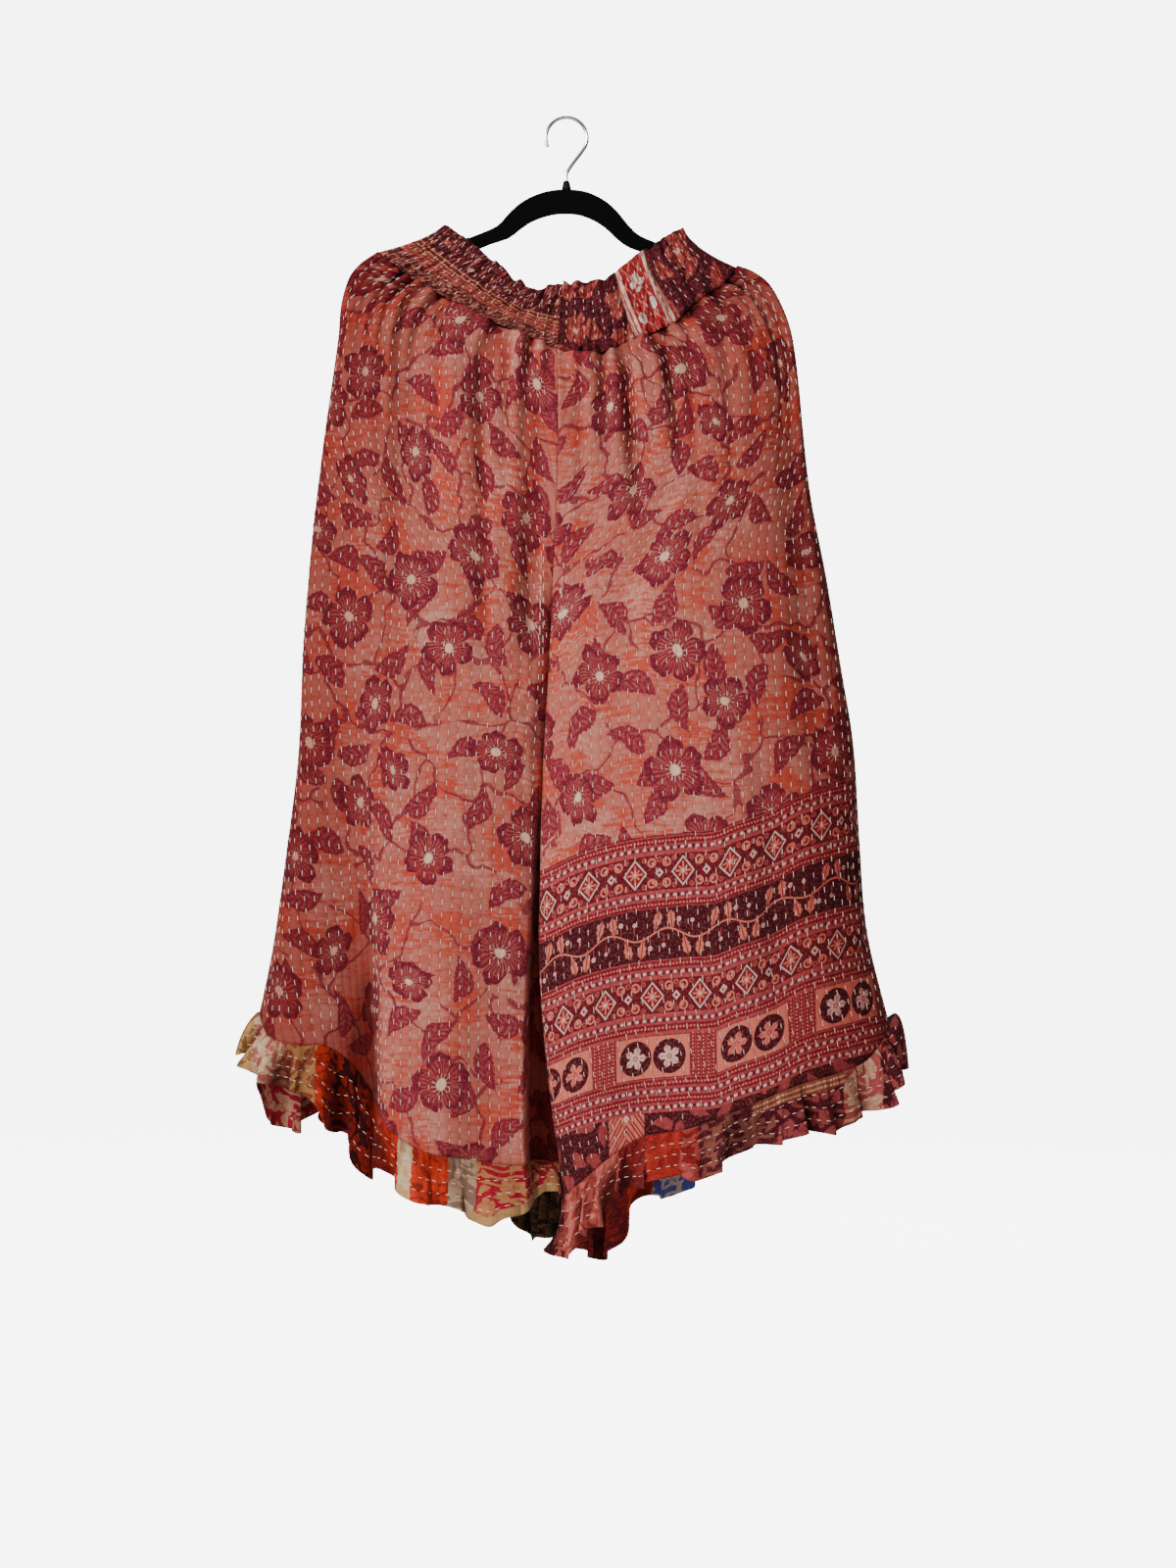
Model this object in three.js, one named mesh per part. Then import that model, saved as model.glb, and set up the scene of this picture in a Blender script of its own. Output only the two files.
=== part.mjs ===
// Wide-legged capri trousers of quilted cotton, with an elastic waistband and gathered ruffles
// round the hems, hanging by the waistband from a flat flocked hanger.
//
// Millimetres, +Z up. -Y is the front of the garment and +X is to the right as one looks at it.
// The origin is the point inside the top of the hanger's hook where a rail carries it.
//
// Every cloth piece is a wall about a middle surface: a grid of points with rows that run from
// the side seam (column 0) to the middle of the garment, and columns that run down the cloth.
import * as THREE from "three";

// ---- Cloth ----
const CLOTH = 2; // two layers of sari cotton, run together by hand
const SEAM_GAP = 0.3; // between the edges of pieces that are sewn to each other
const GATHERS = 16; // drawn up by the elastic over each quarter of the waist
const GATHER_DEPTH = 1.7; // from the middle of the cloth to a crest, at the elastic
const GATHER_RELEASE = 0.07; // share of the leg's length over which a gather opens out
const COLUMNS = 2 * GATHERS; // one grid column for each crest and each trough
const ROUNDING = 0.6; // power on the sine of a section: lower is squarer at the sides

// ---- Ruffles ----
// drop is how far the free edge hangs below the hem, and flare how far it stands out, as a share
// of the drop. share runs from the side seam to the inseam.
const RUFFLES = {
  left_front: [
    { share: 0.0, drop: 48, flare: 0.58 },
    { share: 0.05, drop: 35, flare: 0.55 },
    { share: 0.14, drop: 32, flare: 0.6 },
    { share: 0.22, drop: 42, flare: 0.4 },
    { share: 0.32, drop: 40, flare: 0.2 },
    { share: 0.42, drop: 47, flare: 0.4 },
    { share: 0.55, drop: 45, flare: 0.45 },
    { share: 0.7, drop: 49, flare: 0.35 },
    { share: 0.83, drop: 50, flare: 0.3 },
    { share: 0.92, drop: 64, flare: 0.2 },
    { share: 1.0, drop: 50, flare: 0 },
  ],
  left_back: [
    { share: 0.0, drop: 48, flare: 0.58 },
    { share: 0.1, drop: 50, flare: 0.35 },
    { share: 0.9, drop: 48, flare: 0.3 },
    { share: 1.0, drop: 50, flare: 0 },
  ],
  right_front: [
    { share: 0.0, drop: 50, flare: 0.48 },
    { share: 0.08, drop: 46, flare: 0.4 },
    { share: 0.3, drop: 47, flare: 0.3 },
    { share: 0.47, drop: 38, flare: 0.4 },
    { share: 0.62, drop: 40, flare: 0.45 },
    { share: 0.75, drop: 44, flare: 0.4 },
    { share: 0.88, drop: 60, flare: 0.2 },
    { share: 1.0, drop: 54, flare: 0 },
  ],
  right_back: [
    { share: 0.0, drop: 50, flare: 0.48 },
    { share: 0.1, drop: 48, flare: 0.35 },
    { share: 0.9, drop: 56, flare: 0.25 },
    { share: 1.0, drop: 54, flare: 0 },
  ],
};
const RUFFLE_WAVES = 8; // round each half of a hem
const RUFFLE_WAVE = 8.5; // from the middle of the cloth to a crest, at the free edge
const RUFFLE_CURL = 2.6; // sideways swing of a wave, at the free edge
const RUFFLE_SCALLOP = 0.07; // how much further a crest hangs, as a share of the drop
const RUFFLE_BOW = 0.65; // share of the flare that is reached half-way down
const RUFFLE_LEAN = { left: 0, right: -18 }; // sideways shift of the free edge at the inseam
const RUFFLE_STEPS = 2; // ruffle columns for each column of the panel above

// ---- Waistband: seen from the front, from its left end (share 0) to its right end (share 1) ----
const BAND_TOP_ENDS = { left: { x: -119, z: -103.5 }, right: { x: 113, z: -105.5 } };
const BAND_NIP = 10; // how far its middle is drawn in at the sides
const BAND_TOP_DEPTH = 12; // from the hanger's plane to the cloth, front and back
const BAND_BACK_SAG = 6; // how much further the back of the band hangs in the middle
const BAND_TOP_DROOP = [
  { share: 0.0, z: 0 },
  { share: 0.1, z: -14 },
  { share: 0.2, z: -33 },
  { share: 0.3, z: -53 },
  { share: 0.4, z: -62 },
  { share: 0.5, z: -57 },
  { share: 0.64, z: -54 },
  { share: 0.7, z: -48 },
  { share: 0.76, z: -37 },
  { share: 0.86, z: -21 },
  { share: 1.0, z: 0 },
];
// The seam between the waistband and the trousers, as it hangs over the hanger's arms.
const WAIST_SEAM = [
  { x: -182, z: -130 },
  { x: -165, z: -144 },
  { x: -141, z: -161 },
  { x: -103, z: -182 },
  { x: -65, z: -201 },
  { x: -31, z: -215 },
  { x: -8.5, z: -226 },
  { x: 34, z: -228 },
  { x: 64, z: -216 },
  { x: 104, z: -199 },
  { x: 127, z: -178 },
  { x: 152, z: -160 },
  { x: 165, z: -145 },
];
// Pieces of sari cloth that make up the front of the band, by grid column.
const BAND_PIECES = [
  { name: "waistband_front_bordered", from: 0, to: COLUMNS, colour: 0x5a1a28 },
  { name: "waistband_front_flowered", from: COLUMNS, to: COLUMNS + 9, colour: 0x571c2c },
  { name: "waistband_front_inset", from: COLUMNS + 9, to: COLUMNS + 15, colour: 0xc98372 },
  { name: "waistband_front_end", from: COLUMNS + 15, to: 2 * COLUMNS, colour: 0x4c1526 },
];

// ---- Trousers: t is the share of the way from the waist seam to the hem ----
const CROTCH = 0.36; // where the two legs part
const WRAP_START = 0.1; // where the centre seam starts to turn in towards the crotch
const ROWS = [0, 0.025, 0.05, 0.08, 0.12, 0.17, 0.23, 0.3, 0.36, 0.44, 0.53, 0.63, 0.73, 0.83, 0.92, 1];
const SIDE_SEAM = {
  left: [
    { t: 0.0, x: -182, z: -130 },
    { t: 0.025, x: -200, z: -142 },
    { t: 0.046, x: -210, z: -155 },
    { t: 0.084, x: -217.5, z: -181 },
    { t: 0.126, x: -220, z: -212 },
    { t: 0.271, x: -235, z: -322 },
    { t: 0.398, x: -246, z: -417 },
    { t: 0.524, x: -253.5, z: -512 },
    { t: 0.663, x: -258.5, z: -616 },
    { t: 0.789, x: -270, z: -711 },
    { t: 0.91, x: -283, z: -802 },
    { t: 1.0, x: -296, z: -866 },
  ],
  right: [
    { t: 0.0, x: 165, z: -143 },
    { t: 0.023, x: 181, z: -149 },
    { t: 0.047, x: 196, z: -161 },
    { t: 0.098, x: 213, z: -195 },
    { t: 0.147, x: 221, z: -232 },
    { t: 0.316, x: 235, z: -360 },
    { t: 0.43, x: 251, z: -445 },
    { t: 0.544, x: 265, z: -531 },
    { t: 0.646, x: 277, z: -607 },
    { t: 0.771, x: 283, z: -702 },
    { t: 0.884, x: 290, z: -787 },
    { t: 1.0, x: 312, z: -878 },
  ],
};
// Centre seam down to the crotch, then the two inseams. gap is between them, and the right leg's
// hangs lower than this by skew, the left leg's as much higher.
const CENTRE = [
  { t: 0.0, x: -8.5, z: -226, gap: 0, skew: 0 },
  { t: 0.17, x: -8.5, z: -360, gap: 0, skew: 0 },
  { t: 0.25, x: -12, z: -426, gap: 0, skew: 0 },
  { t: 0.36, x: -16, z: -512, gap: 0.7, skew: 0 },
  { t: 0.49, x: -22, z: -616, gap: 0.7, skew: 1 },
  { t: 0.63, x: -25, z: -730, gap: 0.7, skew: 2 },
  { t: 0.76, x: -25, z: -835, gap: 0.7, skew: 5 },
  { t: 0.89, x: -16, z: -939, gap: 1, skew: 10 },
  { t: 1.0, x: -4, z: -1027, gap: 4, skew: 15 },
];
const DEPTH = [
  { t: 0.0, front: 15, back: 15 },
  { t: 0.08, front: 23, back: 22 },
  { t: 0.2, front: 32, back: 30 },
  { t: 0.36, front: 42, back: 40 },
  { t: 0.6, front: 51, back: 48 },
  { t: 0.85, front: 58, back: 54 },
  { t: 1.0, front: 60, back: 57 },
];
// How far each hem hangs below the straight line between its ends.
const HEM_DROOP = {
  left_front: [
    { share: 0.0, z: 0 },
    { share: 0.045, z: -13 },
    { share: 0.14, z: -7 },
    { share: 0.22, z: 4 },
    { share: 0.32, z: -6 },
    { share: 0.43, z: -38 },
    { share: 0.55, z: -45 },
    { share: 0.7, z: -33 },
    { share: 0.83, z: -20 },
    { share: 0.92, z: -8 },
    { share: 1.0, z: 0 },
  ],
  left_back: [
    { share: 0.0, z: 0 },
    { share: 0.05, z: -34 },
    { share: 0.12, z: -46 },
    { share: 0.18, z: -24 },
    { share: 0.24, z: -40 },
    { share: 0.33, z: -47 },
    { share: 0.6, z: -36 },
    { share: 0.8, z: -20 },
    { share: 1.0, z: 0 },
  ],
  right_front: [
    { share: 0.0, z: 0 },
    { share: 0.08, z: -16 },
    { share: 0.16, z: -14 },
    { share: 0.3, z: -4 },
    { share: 0.47, z: 2 },
    { share: 0.62, z: 9 },
    { share: 0.75, z: 22 },
    { share: 0.81, z: 22 },
    { share: 0.89, z: 16 },
    { share: 1.0, z: 0 },
  ],
  right_back: [
    { share: 0.0, z: 0 },
    { share: 0.14, z: -22 },
    { share: 0.3, z: -18 },
    { share: 0.45, z: -6 },
    { share: 0.55, z: -14 },
    { share: 0.66, z: -24 },
    { share: 0.76, z: -18 },
    { share: 0.9, z: -30 },
    { share: 1.0, z: 0 },
  ],
};
// Folds run down a panel from (x0, z0) to (x1, z1). They push the cloth inwards by depth0 at the
// top and depth1 at the bottom, and are wideLeft and wideRight to either side of that line.
const FOLDS = [
  { panel: "left_front", x0: -177, z0: -540, x1: -212, z1: -1000, depth0: 3, depth1: 44, wideLeft: 42, wideRight: 17 },
  { panel: "left_front", x0: -95, z0: -225, x1: -97, z1: -430, depth0: 5, depth1: 4, wideLeft: 16, wideRight: 9 },
  { panel: "left_front", x0: -62, z0: -560, x1: -80, z1: -1030, depth0: 1, depth1: 9, wideLeft: 30, wideRight: 30 },
  { panel: "left_front", x0: -30, z0: -250, x1: -32, z1: -450, depth0: 7, depth1: 9, wideLeft: 14, wideRight: 14 },
  { panel: "left_front", x0: -150, z0: -200, x1: -160, z1: -420, depth0: 5, depth1: 3, wideLeft: 14, wideRight: 20 },
  { panel: "right_front", x0: 59, z0: -250, x1: 73, z1: -370, depth0: 7, depth1: 8, wideLeft: 11, wideRight: 16 },
  { panel: "right_front", x0: 14, z0: -250, x1: 14, z1: -330, depth0: 5, depth1: 3, wideLeft: 10, wideRight: 13 },
  { panel: "right_front", x0: 116, z0: -220, x1: 127, z1: -400, depth0: 4, depth1: 3, wideLeft: 14, wideRight: 14 },
  { panel: "right_front", x0: 190, z0: -600, x1: 202, z1: -800, depth0: 3, depth1: 8, wideLeft: 14, wideRight: 24 },
  { panel: "right_front", x0: 60, z0: -700, x1: 66, z1: -1030, depth0: 1, depth1: 8, wideLeft: 34, wideRight: 30 },
  { panel: "right_front", x0: 205, z0: -230, x1: 236, z1: -560, depth0: 3, depth1: 5, wideLeft: 12, wideRight: 14 },
  { panel: "left_back", x0: -60, z0: -240, x1: -95, z1: -1030, depth0: 5, depth1: 26, wideLeft: 24, wideRight: 20 },
  { panel: "left_back", x0: -150, z0: -200, x1: -205, z1: -960, depth0: 5, depth1: 28, wideLeft: 26, wideRight: 22 },
  { panel: "right_back", x0: 50, z0: -240, x1: 80, z1: -1030, depth0: 5, depth1: 24, wideLeft: 22, wideRight: 26 },
  { panel: "right_back", x0: 140, z0: -210, x1: 205, z1: -960, depth0: 5, depth1: 30, wideLeft: 22, wideRight: 26 },
];
const FOLD_FADE = 60; // length over which a fold runs out at its top end
const FOLD_TAIL = 110; // and at its bottom end, where it doesn't reach the hem

// ---- Hanger ----
const HANGER_THICK = 5;
const HANGER_EDGE = 1; // rounding of the flocked edges
// Middle line of the arms and the neck's arch, with half their upright height.
const HANGER_LINE = [
  { x: -206, z: -168, half: 7 },
  { x: -169, z: -152, half: 7.1 },
  { x: -131, z: -137, half: 7.1 },
  { x: -100, z: -124.5, half: 7.1 },
  { x: -83, z: -118, half: 7.1 },
  { x: -74, z: -114.2, half: 7.1 },
  { x: -65, z: -110.4, half: 8.1 },
  { x: -55, z: -102.8, half: 11.8 },
  { x: -45.5, z: -94.7, half: 12.4 },
  { x: -36, z: -88.5, half: 12.1 },
  { x: -26, z: -84.2, half: 12 },
  { x: -14, z: -81, half: 11.8 },
  { x: 0, z: -80, half: 11.8 },
  { x: 12, z: -81, half: 11.9 },
  { x: 21, z: -83.4, half: 12.3 },
  { x: 31, z: -88.1, half: 12.5 },
  { x: 40, z: -94.2, half: 12.9 },
  { x: 49.5, z: -103.3, half: 13 },
  { x: 59, z: -112.8, half: 10.5 },
  { x: 68.5, z: -119.4, half: 7.8 },
  { x: 78, z: -123.5, half: 7.2 },
  { x: 89, z: -128, half: 7.1 },
  { x: 125, z: -144, half: 7.1 },
  { x: 163, z: -161, half: 7.1 },
  { x: 192, z: -174, half: 7 },
];
const HANGER_STEPS = 72; // points along each edge of the outline
const COLLAR_RADIUS = 4.6;
const COLLAR_TOP = -60;
const WIRE_RADIUS = 1.75;
const HOOK_RADIUS = 20; // of the wire's middle line
const HOOK_STEPS = 44;

// ---- Helpers ----
const lerp = (a, b, share) => a + (b - a) * share;
const clamp01 = (value) => Math.min(1, Math.max(0, value));
const smoothstep = (from, to, value) => {
  const share = clamp01((value - from) / (to - from));
  return share * share * (3 - 2 * share);
};

// A smooth curve through one column of a table whose rows are in order of the key column.
function column(table, name, at, key = "t") {
  const last = table.length - 1;
  let i = 0;
  while (i < last - 1 && table[i + 1][key] < at) i += 1;
  const slope = (j) => {
    const low = table[Math.max(j - 1, 0)];
    const high = table[Math.min(j + 1, last)];
    return (high[name] - low[name]) / (high[key] - low[key]);
  };
  const step = table[i + 1][key] - table[i][key];
  const share = clamp01((at - table[i][key]) / step);
  const square = share * share;
  const cube = square * share;
  return (
    (2 * cube - 3 * square + 1) * table[i][name] +
    (cube - 2 * square + share) * step * slope(i) +
    (3 * square - 2 * cube) * table[i + 1][name] +
    (cube - square) * step * slope(i + 1)
  );
}

// Unit normals of a grid of points: across the columns times down the rows, times sense. Rows
// listed in level get theirs square to the vertical, so that two pieces meet there edge to edge.
function facings(rows, sense, level = []) {
  const lastRow = rows.length - 1;
  const lastColumn = rows[0].length - 1;
  return rows.map((row, r) =>
    row.map((point, c) => {
      const across = row[Math.min(c + 1, lastColumn)].clone().sub(row[Math.max(c - 1, 0)]);
      const down = rows[Math.min(r + 1, lastRow)][c].clone().sub(rows[Math.max(r - 1, 0)][c]);
      if (level.includes(r)) down.set(0, 0, -1);
      return across.cross(down).normalize().multiplyScalar(sense);
    }),
  );
}

// How far a point of a sloping seam moves up or down to leave a gap square to the seam.
function seamDrop(row, c, gap) {
  const slope = row[Math.min(c + 1, row.length - 1)].clone().sub(row[Math.max(c - 1, 0)]);
  return (gap * slope.length()) / Math.hypot(slope.x, slope.y);
}

// Pulls the edges of a piece back by half a seam gap.
function trimmed(rows, edges) {
  const pull = (point, towards) => point.add(towards.clone().sub(point).setLength(SEAM_GAP / 2));
  const lastRow = rows.length - 1;
  const moves = rows[0].map((_, c) => [seamDrop(rows[0], c, SEAM_GAP / 2), seamDrop(rows[lastRow], c, SEAM_GAP / 2)]);
  moves.forEach(([top, bottom], c) => {
    if (edges.includes("top")) rows[0][c].z -= top;
    if (edges.includes("bottom")) rows[lastRow][c].z += bottom;
  });
  if (edges.includes("first")) rows.forEach((row) => pull(row[0], row[1]));
  if (edges.includes("last")) rows.forEach((row) => pull(row[row.length - 1], row[row.length - 2]));
  return rows;
}

// A closed wall of the cloth's thickness about a grid. limit keeps each wall point on its own
// side of a seam.
function wall(rows, facing, { sense, limit }) {
  const columns = rows[0].length;
  const positions = [];
  [CLOTH / 2, -CLOTH / 2].forEach((offset) =>
    rows.forEach((row, r) =>
      row.forEach((point, c) => {
        const moved = limit(point.clone().addScaledVector(facing[r][c], offset));
        positions.push(moved.x, moved.y, moved.z);
      }),
    ),
  );
  const layer = rows.length * columns;
  const triangles = [];
  const quad = (a, b, c, d) => {
    if (sense > 0) triangles.push(a, b, c, a, c, d);
    else triangles.push(a, c, b, a, d, c);
  };
  for (let r = 0; r < rows.length - 1; r += 1)
    for (let c = 0; c < columns - 1; c += 1) {
      const a = r * columns + c;
      const b = a + 1;
      const d = a + columns;
      quad(a, b, d + 1, d);
      quad(layer + a, layer + d, layer + d + 1, layer + b);
    }
  // The rim: once round the border of the grid.
  const border = [];
  for (let c = 0; c < columns - 1; c += 1) border.push(c);
  for (let r = 0; r < rows.length - 1; r += 1) border.push(r * columns + columns - 1);
  for (let c = columns - 1; c > 0; c -= 1) border.push((rows.length - 1) * columns + c);
  for (let r = rows.length - 1; r > 0; r -= 1) border.push(r * columns);
  border.forEach((a, i) => {
    const b = border[(i + 1) % border.length];
    quad(a, layer + a, layer + b, b);
  });
  const geometry = new THREE.BufferGeometry();
  geometry.setAttribute("position", new THREE.Float32BufferAttribute(positions, 3));
  geometry.setIndex(triangles);
  geometry.computeVertexNormals();
  return geometry;
}

const root = new THREE.Group();

function add(name, geometry, colour, roughness = 0.9, metalness = 0) {
  const material = new THREE.MeshStandardMaterial({ color: colour, roughness, metalness });
  const mesh = new THREE.Mesh(geometry, material);
  mesh.name = name;
  root.add(mesh);
}

// ---- Panels: front and back of each leg, each cut in one with its half of the seat ----
const SIDES = { left: -1, right: 1 };
const FACES = { front: -1, back: 1 };

// Crest on even columns, trough on odd ones. It dies out where the cloth turns at a side.
const gather = (index, turn) => GATHER_DEPTH * Math.cos(Math.PI * index) * Math.min(1, 2 * Math.sin(turn));

// Middle line between the halves of the garment, at a height.
const CENTRE_BY_FALL = CENTRE.map((row) => ({ fall: -row.z, x: row.x }));
const centreX = (z) => column(CENTRE_BY_FALL, "x", -z, "fall");

function foldDepth(fold, x, z) {
  const along = (fold.z0 - z) / (fold.z0 - fold.z1);
  const reach = smoothstep(fold.z0 + FOLD_FADE / 2, fold.z0 - FOLD_FADE, z);
  const tail = 1 - smoothstep(fold.z1, fold.z1 - FOLD_TAIL, z);
  const off = x - lerp(fold.x0, fold.x1, along);
  const wide = off < 0 ? fold.wideLeft : fold.wideRight;
  return reach * tail * lerp(fold.depth0, fold.depth1, clamp01(along)) * Math.exp(-((off / wide) ** 2));
}

function panelRows(side, face) {
  const hem = HEM_DROOP[`${side}_${face}`];
  const outward = FACES[face];
  const seam = SIDE_SEAM[side];
  const foldsHere = FOLDS.filter((fold) => fold.panel === `${side}_${face}`);
  const waistEnds = [seam[0], CENTRE[0]];
  const rows = ROWS.map((t) => {
    const wrap = Math.PI * lerp(0.5, 1, smoothstep(WRAP_START, CROTCH, t));
    const depth = column(DEPTH, face, t);
    const beside = CLOTH / 2 * Math.max(0, -Math.cos(wrap)) + column(CENTRE, "gap", t) / 2;
    const outer = { x: column(seam, "x", t), z: column(seam, "z", t) };
    const innerZ = column(CENTRE, "z", t) - SIDES[side] * column(CENTRE, "skew", t);
    const inner = { x: centreX(innerZ) + SIDES[side] * beside, z: innerZ };
    return Array.from({ length: COLUMNS + 1 }, (_, index) => {
      const turn = (wrap * index) / COLUMNS;
      const share = (1 - Math.cos(turn)) / (1 - Math.cos(wrap));
      const waistX = lerp(waistEnds[0].x, waistEnds[1].x, share);
      const waistDroop = column(WAIST_SEAM, "z", waistX, "x") - lerp(waistEnds[0].z, waistEnds[1].z, share);
      const hemDroop = column(hem, "z", share, "share");
      const droop = (1 - t) ** 2 * waistDroop + t ** 2 * hemDroop;
      return new THREE.Vector3(
        lerp(outer.x, inner.x, share),
        outward * depth * Math.sin(turn) ** ROUNDING,
        lerp(outer.z, inner.z, share) + droop,
      );
    });
  });
  const facing = facings(rows, -SIDES[side] * outward, [0]);
  return rows.map((row, r) =>
    row.map((point, index) => {
      const turn = (Math.PI * index) / COLUMNS;
      const edge = index === 0 || (index === COLUMNS && ROWS[r] >= CROTCH) ? 0 : 1;
      const crest = gather(index, Math.max(turn / 2, 0)) * Math.exp(-ROWS[r] / GATHER_RELEASE);
      const sunk = foldsHere.reduce((sum, fold) => sum + foldDepth(fold, point.x, point.z), 0);
      const atSide = smoothstep(0, 0.18, index / COLUMNS);
      const atInseam = ROWS[r] < WRAP_START ? 1 : smoothstep(1, 0.86, index / COLUMNS);
      return point.clone().addScaledVector(facing[r][index], edge * (crest - sunk * atSide * atInseam));
    }),
  );
}

// Keeps a wall on its own side of the side seams and inseams.
function faceLimit(face) {
  return (point) => point.setY(FACES[face] * Math.max(FACES[face] * point.y, SEAM_GAP / 2));
}

// Keeps a panel's wall on its own side of the centre seam as well.
function panelLimit(side, face) {
  const limit = faceLimit(face);
  return (point) => {
    const middle = centreX(point.z);
    const off = Math.max(SIDES[side] * (point.x - middle), SEAM_GAP / 2);
    return limit(point).setX(middle + SIDES[side] * off);
  };
}

// Evens out a row of normals, so that the edge of a hem doesn't twist.
function evened(row) {
  const last = row.length - 1;
  return row.map((normal, c) => {
    const sum = normal.clone().multiplyScalar(2).add(row[Math.max(c - 1, 0)]).add(row[Math.min(c + 1, last)]);
    return c === 0 || c === last ? normal : sum.normalize();
  });
}

const hems = {};
for (const side of Object.keys(SIDES))
  for (const face of Object.keys(FACES)) {
    const rows = trimmed(panelRows(side, face), ["first", "last", "top", "bottom"]);
    const sense = -SIDES[side] * FACES[face];
    const last = rows.length - 1;
    const facing = facings(rows, sense, [0, last]);
    facing[last] = evened(evened(facing[last]));
    hems[`${side}_${face}`] = { points: rows[last], facing: facing[last] };
    add(`leg_${side}_${face}`, wall(rows, facing, { sense, limit: panelLimit(side, face) }), 0xc0604e);
  }

// ---- Ruffles: a gathered strip below each half of a hem ----
// Splits each step between vectors into RUFFLE_STEPS.
function split(vectors) {
  const steps = RUFFLE_STEPS * (vectors.length - 1);
  return Array.from({ length: steps + 1 }, (_, i) => {
    const from = Math.min(Math.floor(i / RUFFLE_STEPS), vectors.length - 2);
    return vectors[from].clone().lerp(vectors[from + 1], i / RUFFLE_STEPS - from);
  });
}

function ruffleRows(side, face) {
  const hem = hems[`${side}_${face}`].points;
  const top = split(hem.map((point, c) => point.clone().setZ(point.z - seamDrop(hem, c, SEAM_GAP))));
  const last = top.length - 1;
  const level = top.map((_, i) => {
    const turn = (Math.PI * i) / last;
    const sideways = SIDES[side] * Math.max(Math.cos(turn), -0.1);
    const out = new THREE.Vector3(sideways, FACES[face] * 2 * Math.sin(turn) || 0, 0).normalize();
    return { out, along: new THREE.Vector3(-out.y, out.x, 0) };
  });
  const table = RUFFLES[`${side}_${face}`];
  const bow = (reach) => reach * (2 * RUFFLE_BOW * (2 - 2 * reach) + 2 * reach - 1);
  return [0, 0.5, 1].map((reach) =>
    top.map((point, i) => {
      const share = i / last;
      const phase = 2 * Math.PI * RUFFLE_WAVES * share + 0.8 * Math.sin(2 * Math.PI * 2.5 * share);
      const loose = smoothstep(0, 0.08, share) * smoothstep(1, 0.9, share);
      const wave = RUFFLE_WAVE * reach * Math.sin(phase) * lerp(0.1, 1, loose);
      const curl = RUFFLE_CURL * reach * Math.sin(2 * phase) * loose;
      const scallop = 1 + RUFFLE_SCALLOP * Math.sin(phase) * loose;
      const drop = reach * column(table, "drop", share, "share") * scallop;
      const flare = bow(reach) * column(table, "drop", share, "share") * column(table, "flare", share, "share");
      const lean = RUFFLE_LEAN[side] * reach ** 3 * smoothstep(0.86, 1, share);
      return point
        .clone()
        .addScaledVector(level[i].out, flare + wave)
        .addScaledVector(level[i].along, curl)
        .add(new THREE.Vector3(lean, 0, -drop));
    }),
  );
}

const RUFFLE_COLOURS = { left: 0xc8452c, right: 0x6b2233 };
for (const side of Object.keys(SIDES))
  for (const face of Object.keys(FACES)) {
    const rows = ruffleRows(side, face);
    const sense = -SIDES[side] * FACES[face];
    const facing = facings(rows, sense);
    facing[0] = split(hems[`${side}_${face}`].facing);
    add(`ruffle_${side}_${face}`, wall(rows, facing, { sense, limit: faceLimit(face) }), RUFFLE_COLOURS[side]);
  }

// ---- Waistband: a gathered casing over the elastic ----
function bandRows(face) {
  const outward = FACES[face];
  const { left, right } = BAND_TOP_ENDS;
  const seamLeft = WAIST_SEAM[0];
  const seamRight = WAIST_SEAM[WAIST_SEAM.length - 1];
  const sag = face === "back" ? BAND_BACK_SAG : 0;
  const rows = [0, 0.5, 1].map((down) =>
    Array.from({ length: 2 * COLUMNS + 1 }, (_, index) => {
      const turn = (Math.PI * index) / (2 * COLUMNS);
      const share = (1 - Math.cos(turn)) / 2;
      const topZ = lerp(left.z, right.z, share) + column(BAND_TOP_DROOP, "z", share, "share") - sag * Math.sin(turn);
      const seamX = index <= COLUMNS ? lerp(seamLeft.x, CENTRE[0].x, 2 * share) : lerp(CENTRE[0].x, seamRight.x, 2 * share - 1);
      const depth = lerp(BAND_TOP_DEPTH, DEPTH[0][face], down);
      const nip = 4 * down * (1 - down) * BAND_NIP * Math.cos(turn) ** 3;
      return new THREE.Vector3(
        lerp(lerp(left.x, right.x, share), seamX, down) + nip,
        outward * depth * Math.sin(turn) ** ROUNDING,
        lerp(topZ, column(WAIST_SEAM, "z", seamX, "x"), down),
      );
    }),
  );
  const facing = facings(rows, outward, [2]);
  return rows.map((row, r) =>
    row.map((point, index) => {
      const turn = (Math.PI * index) / (2 * COLUMNS);
      const edge = index === 0 || index === 2 * COLUMNS ? 0 : 1;
      return point.clone().addScaledVector(facing[r][index], edge * gather(index, turn));
    }),
  );
}

function addBand(name, face, from, to, colour) {
  const whole = trimmed(bandRows(face), ["bottom"]);
  const facing = facings(whole, FACES[face], [0, 2]).map((row) => row.slice(from, to + 1));
  const rows = trimmed(whole.map((row) => row.slice(from, to + 1)), ["first", "last"]);
  add(name, wall(rows, facing, { sense: FACES[face], limit: faceLimit(face) }), colour);
}

BAND_PIECES.forEach(({ name, from, to, colour }) => addBand(name, "front", from, to, colour));
addBand("waistband_back", "back", 0, 2 * COLUMNS, 0x571c2c);

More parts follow.
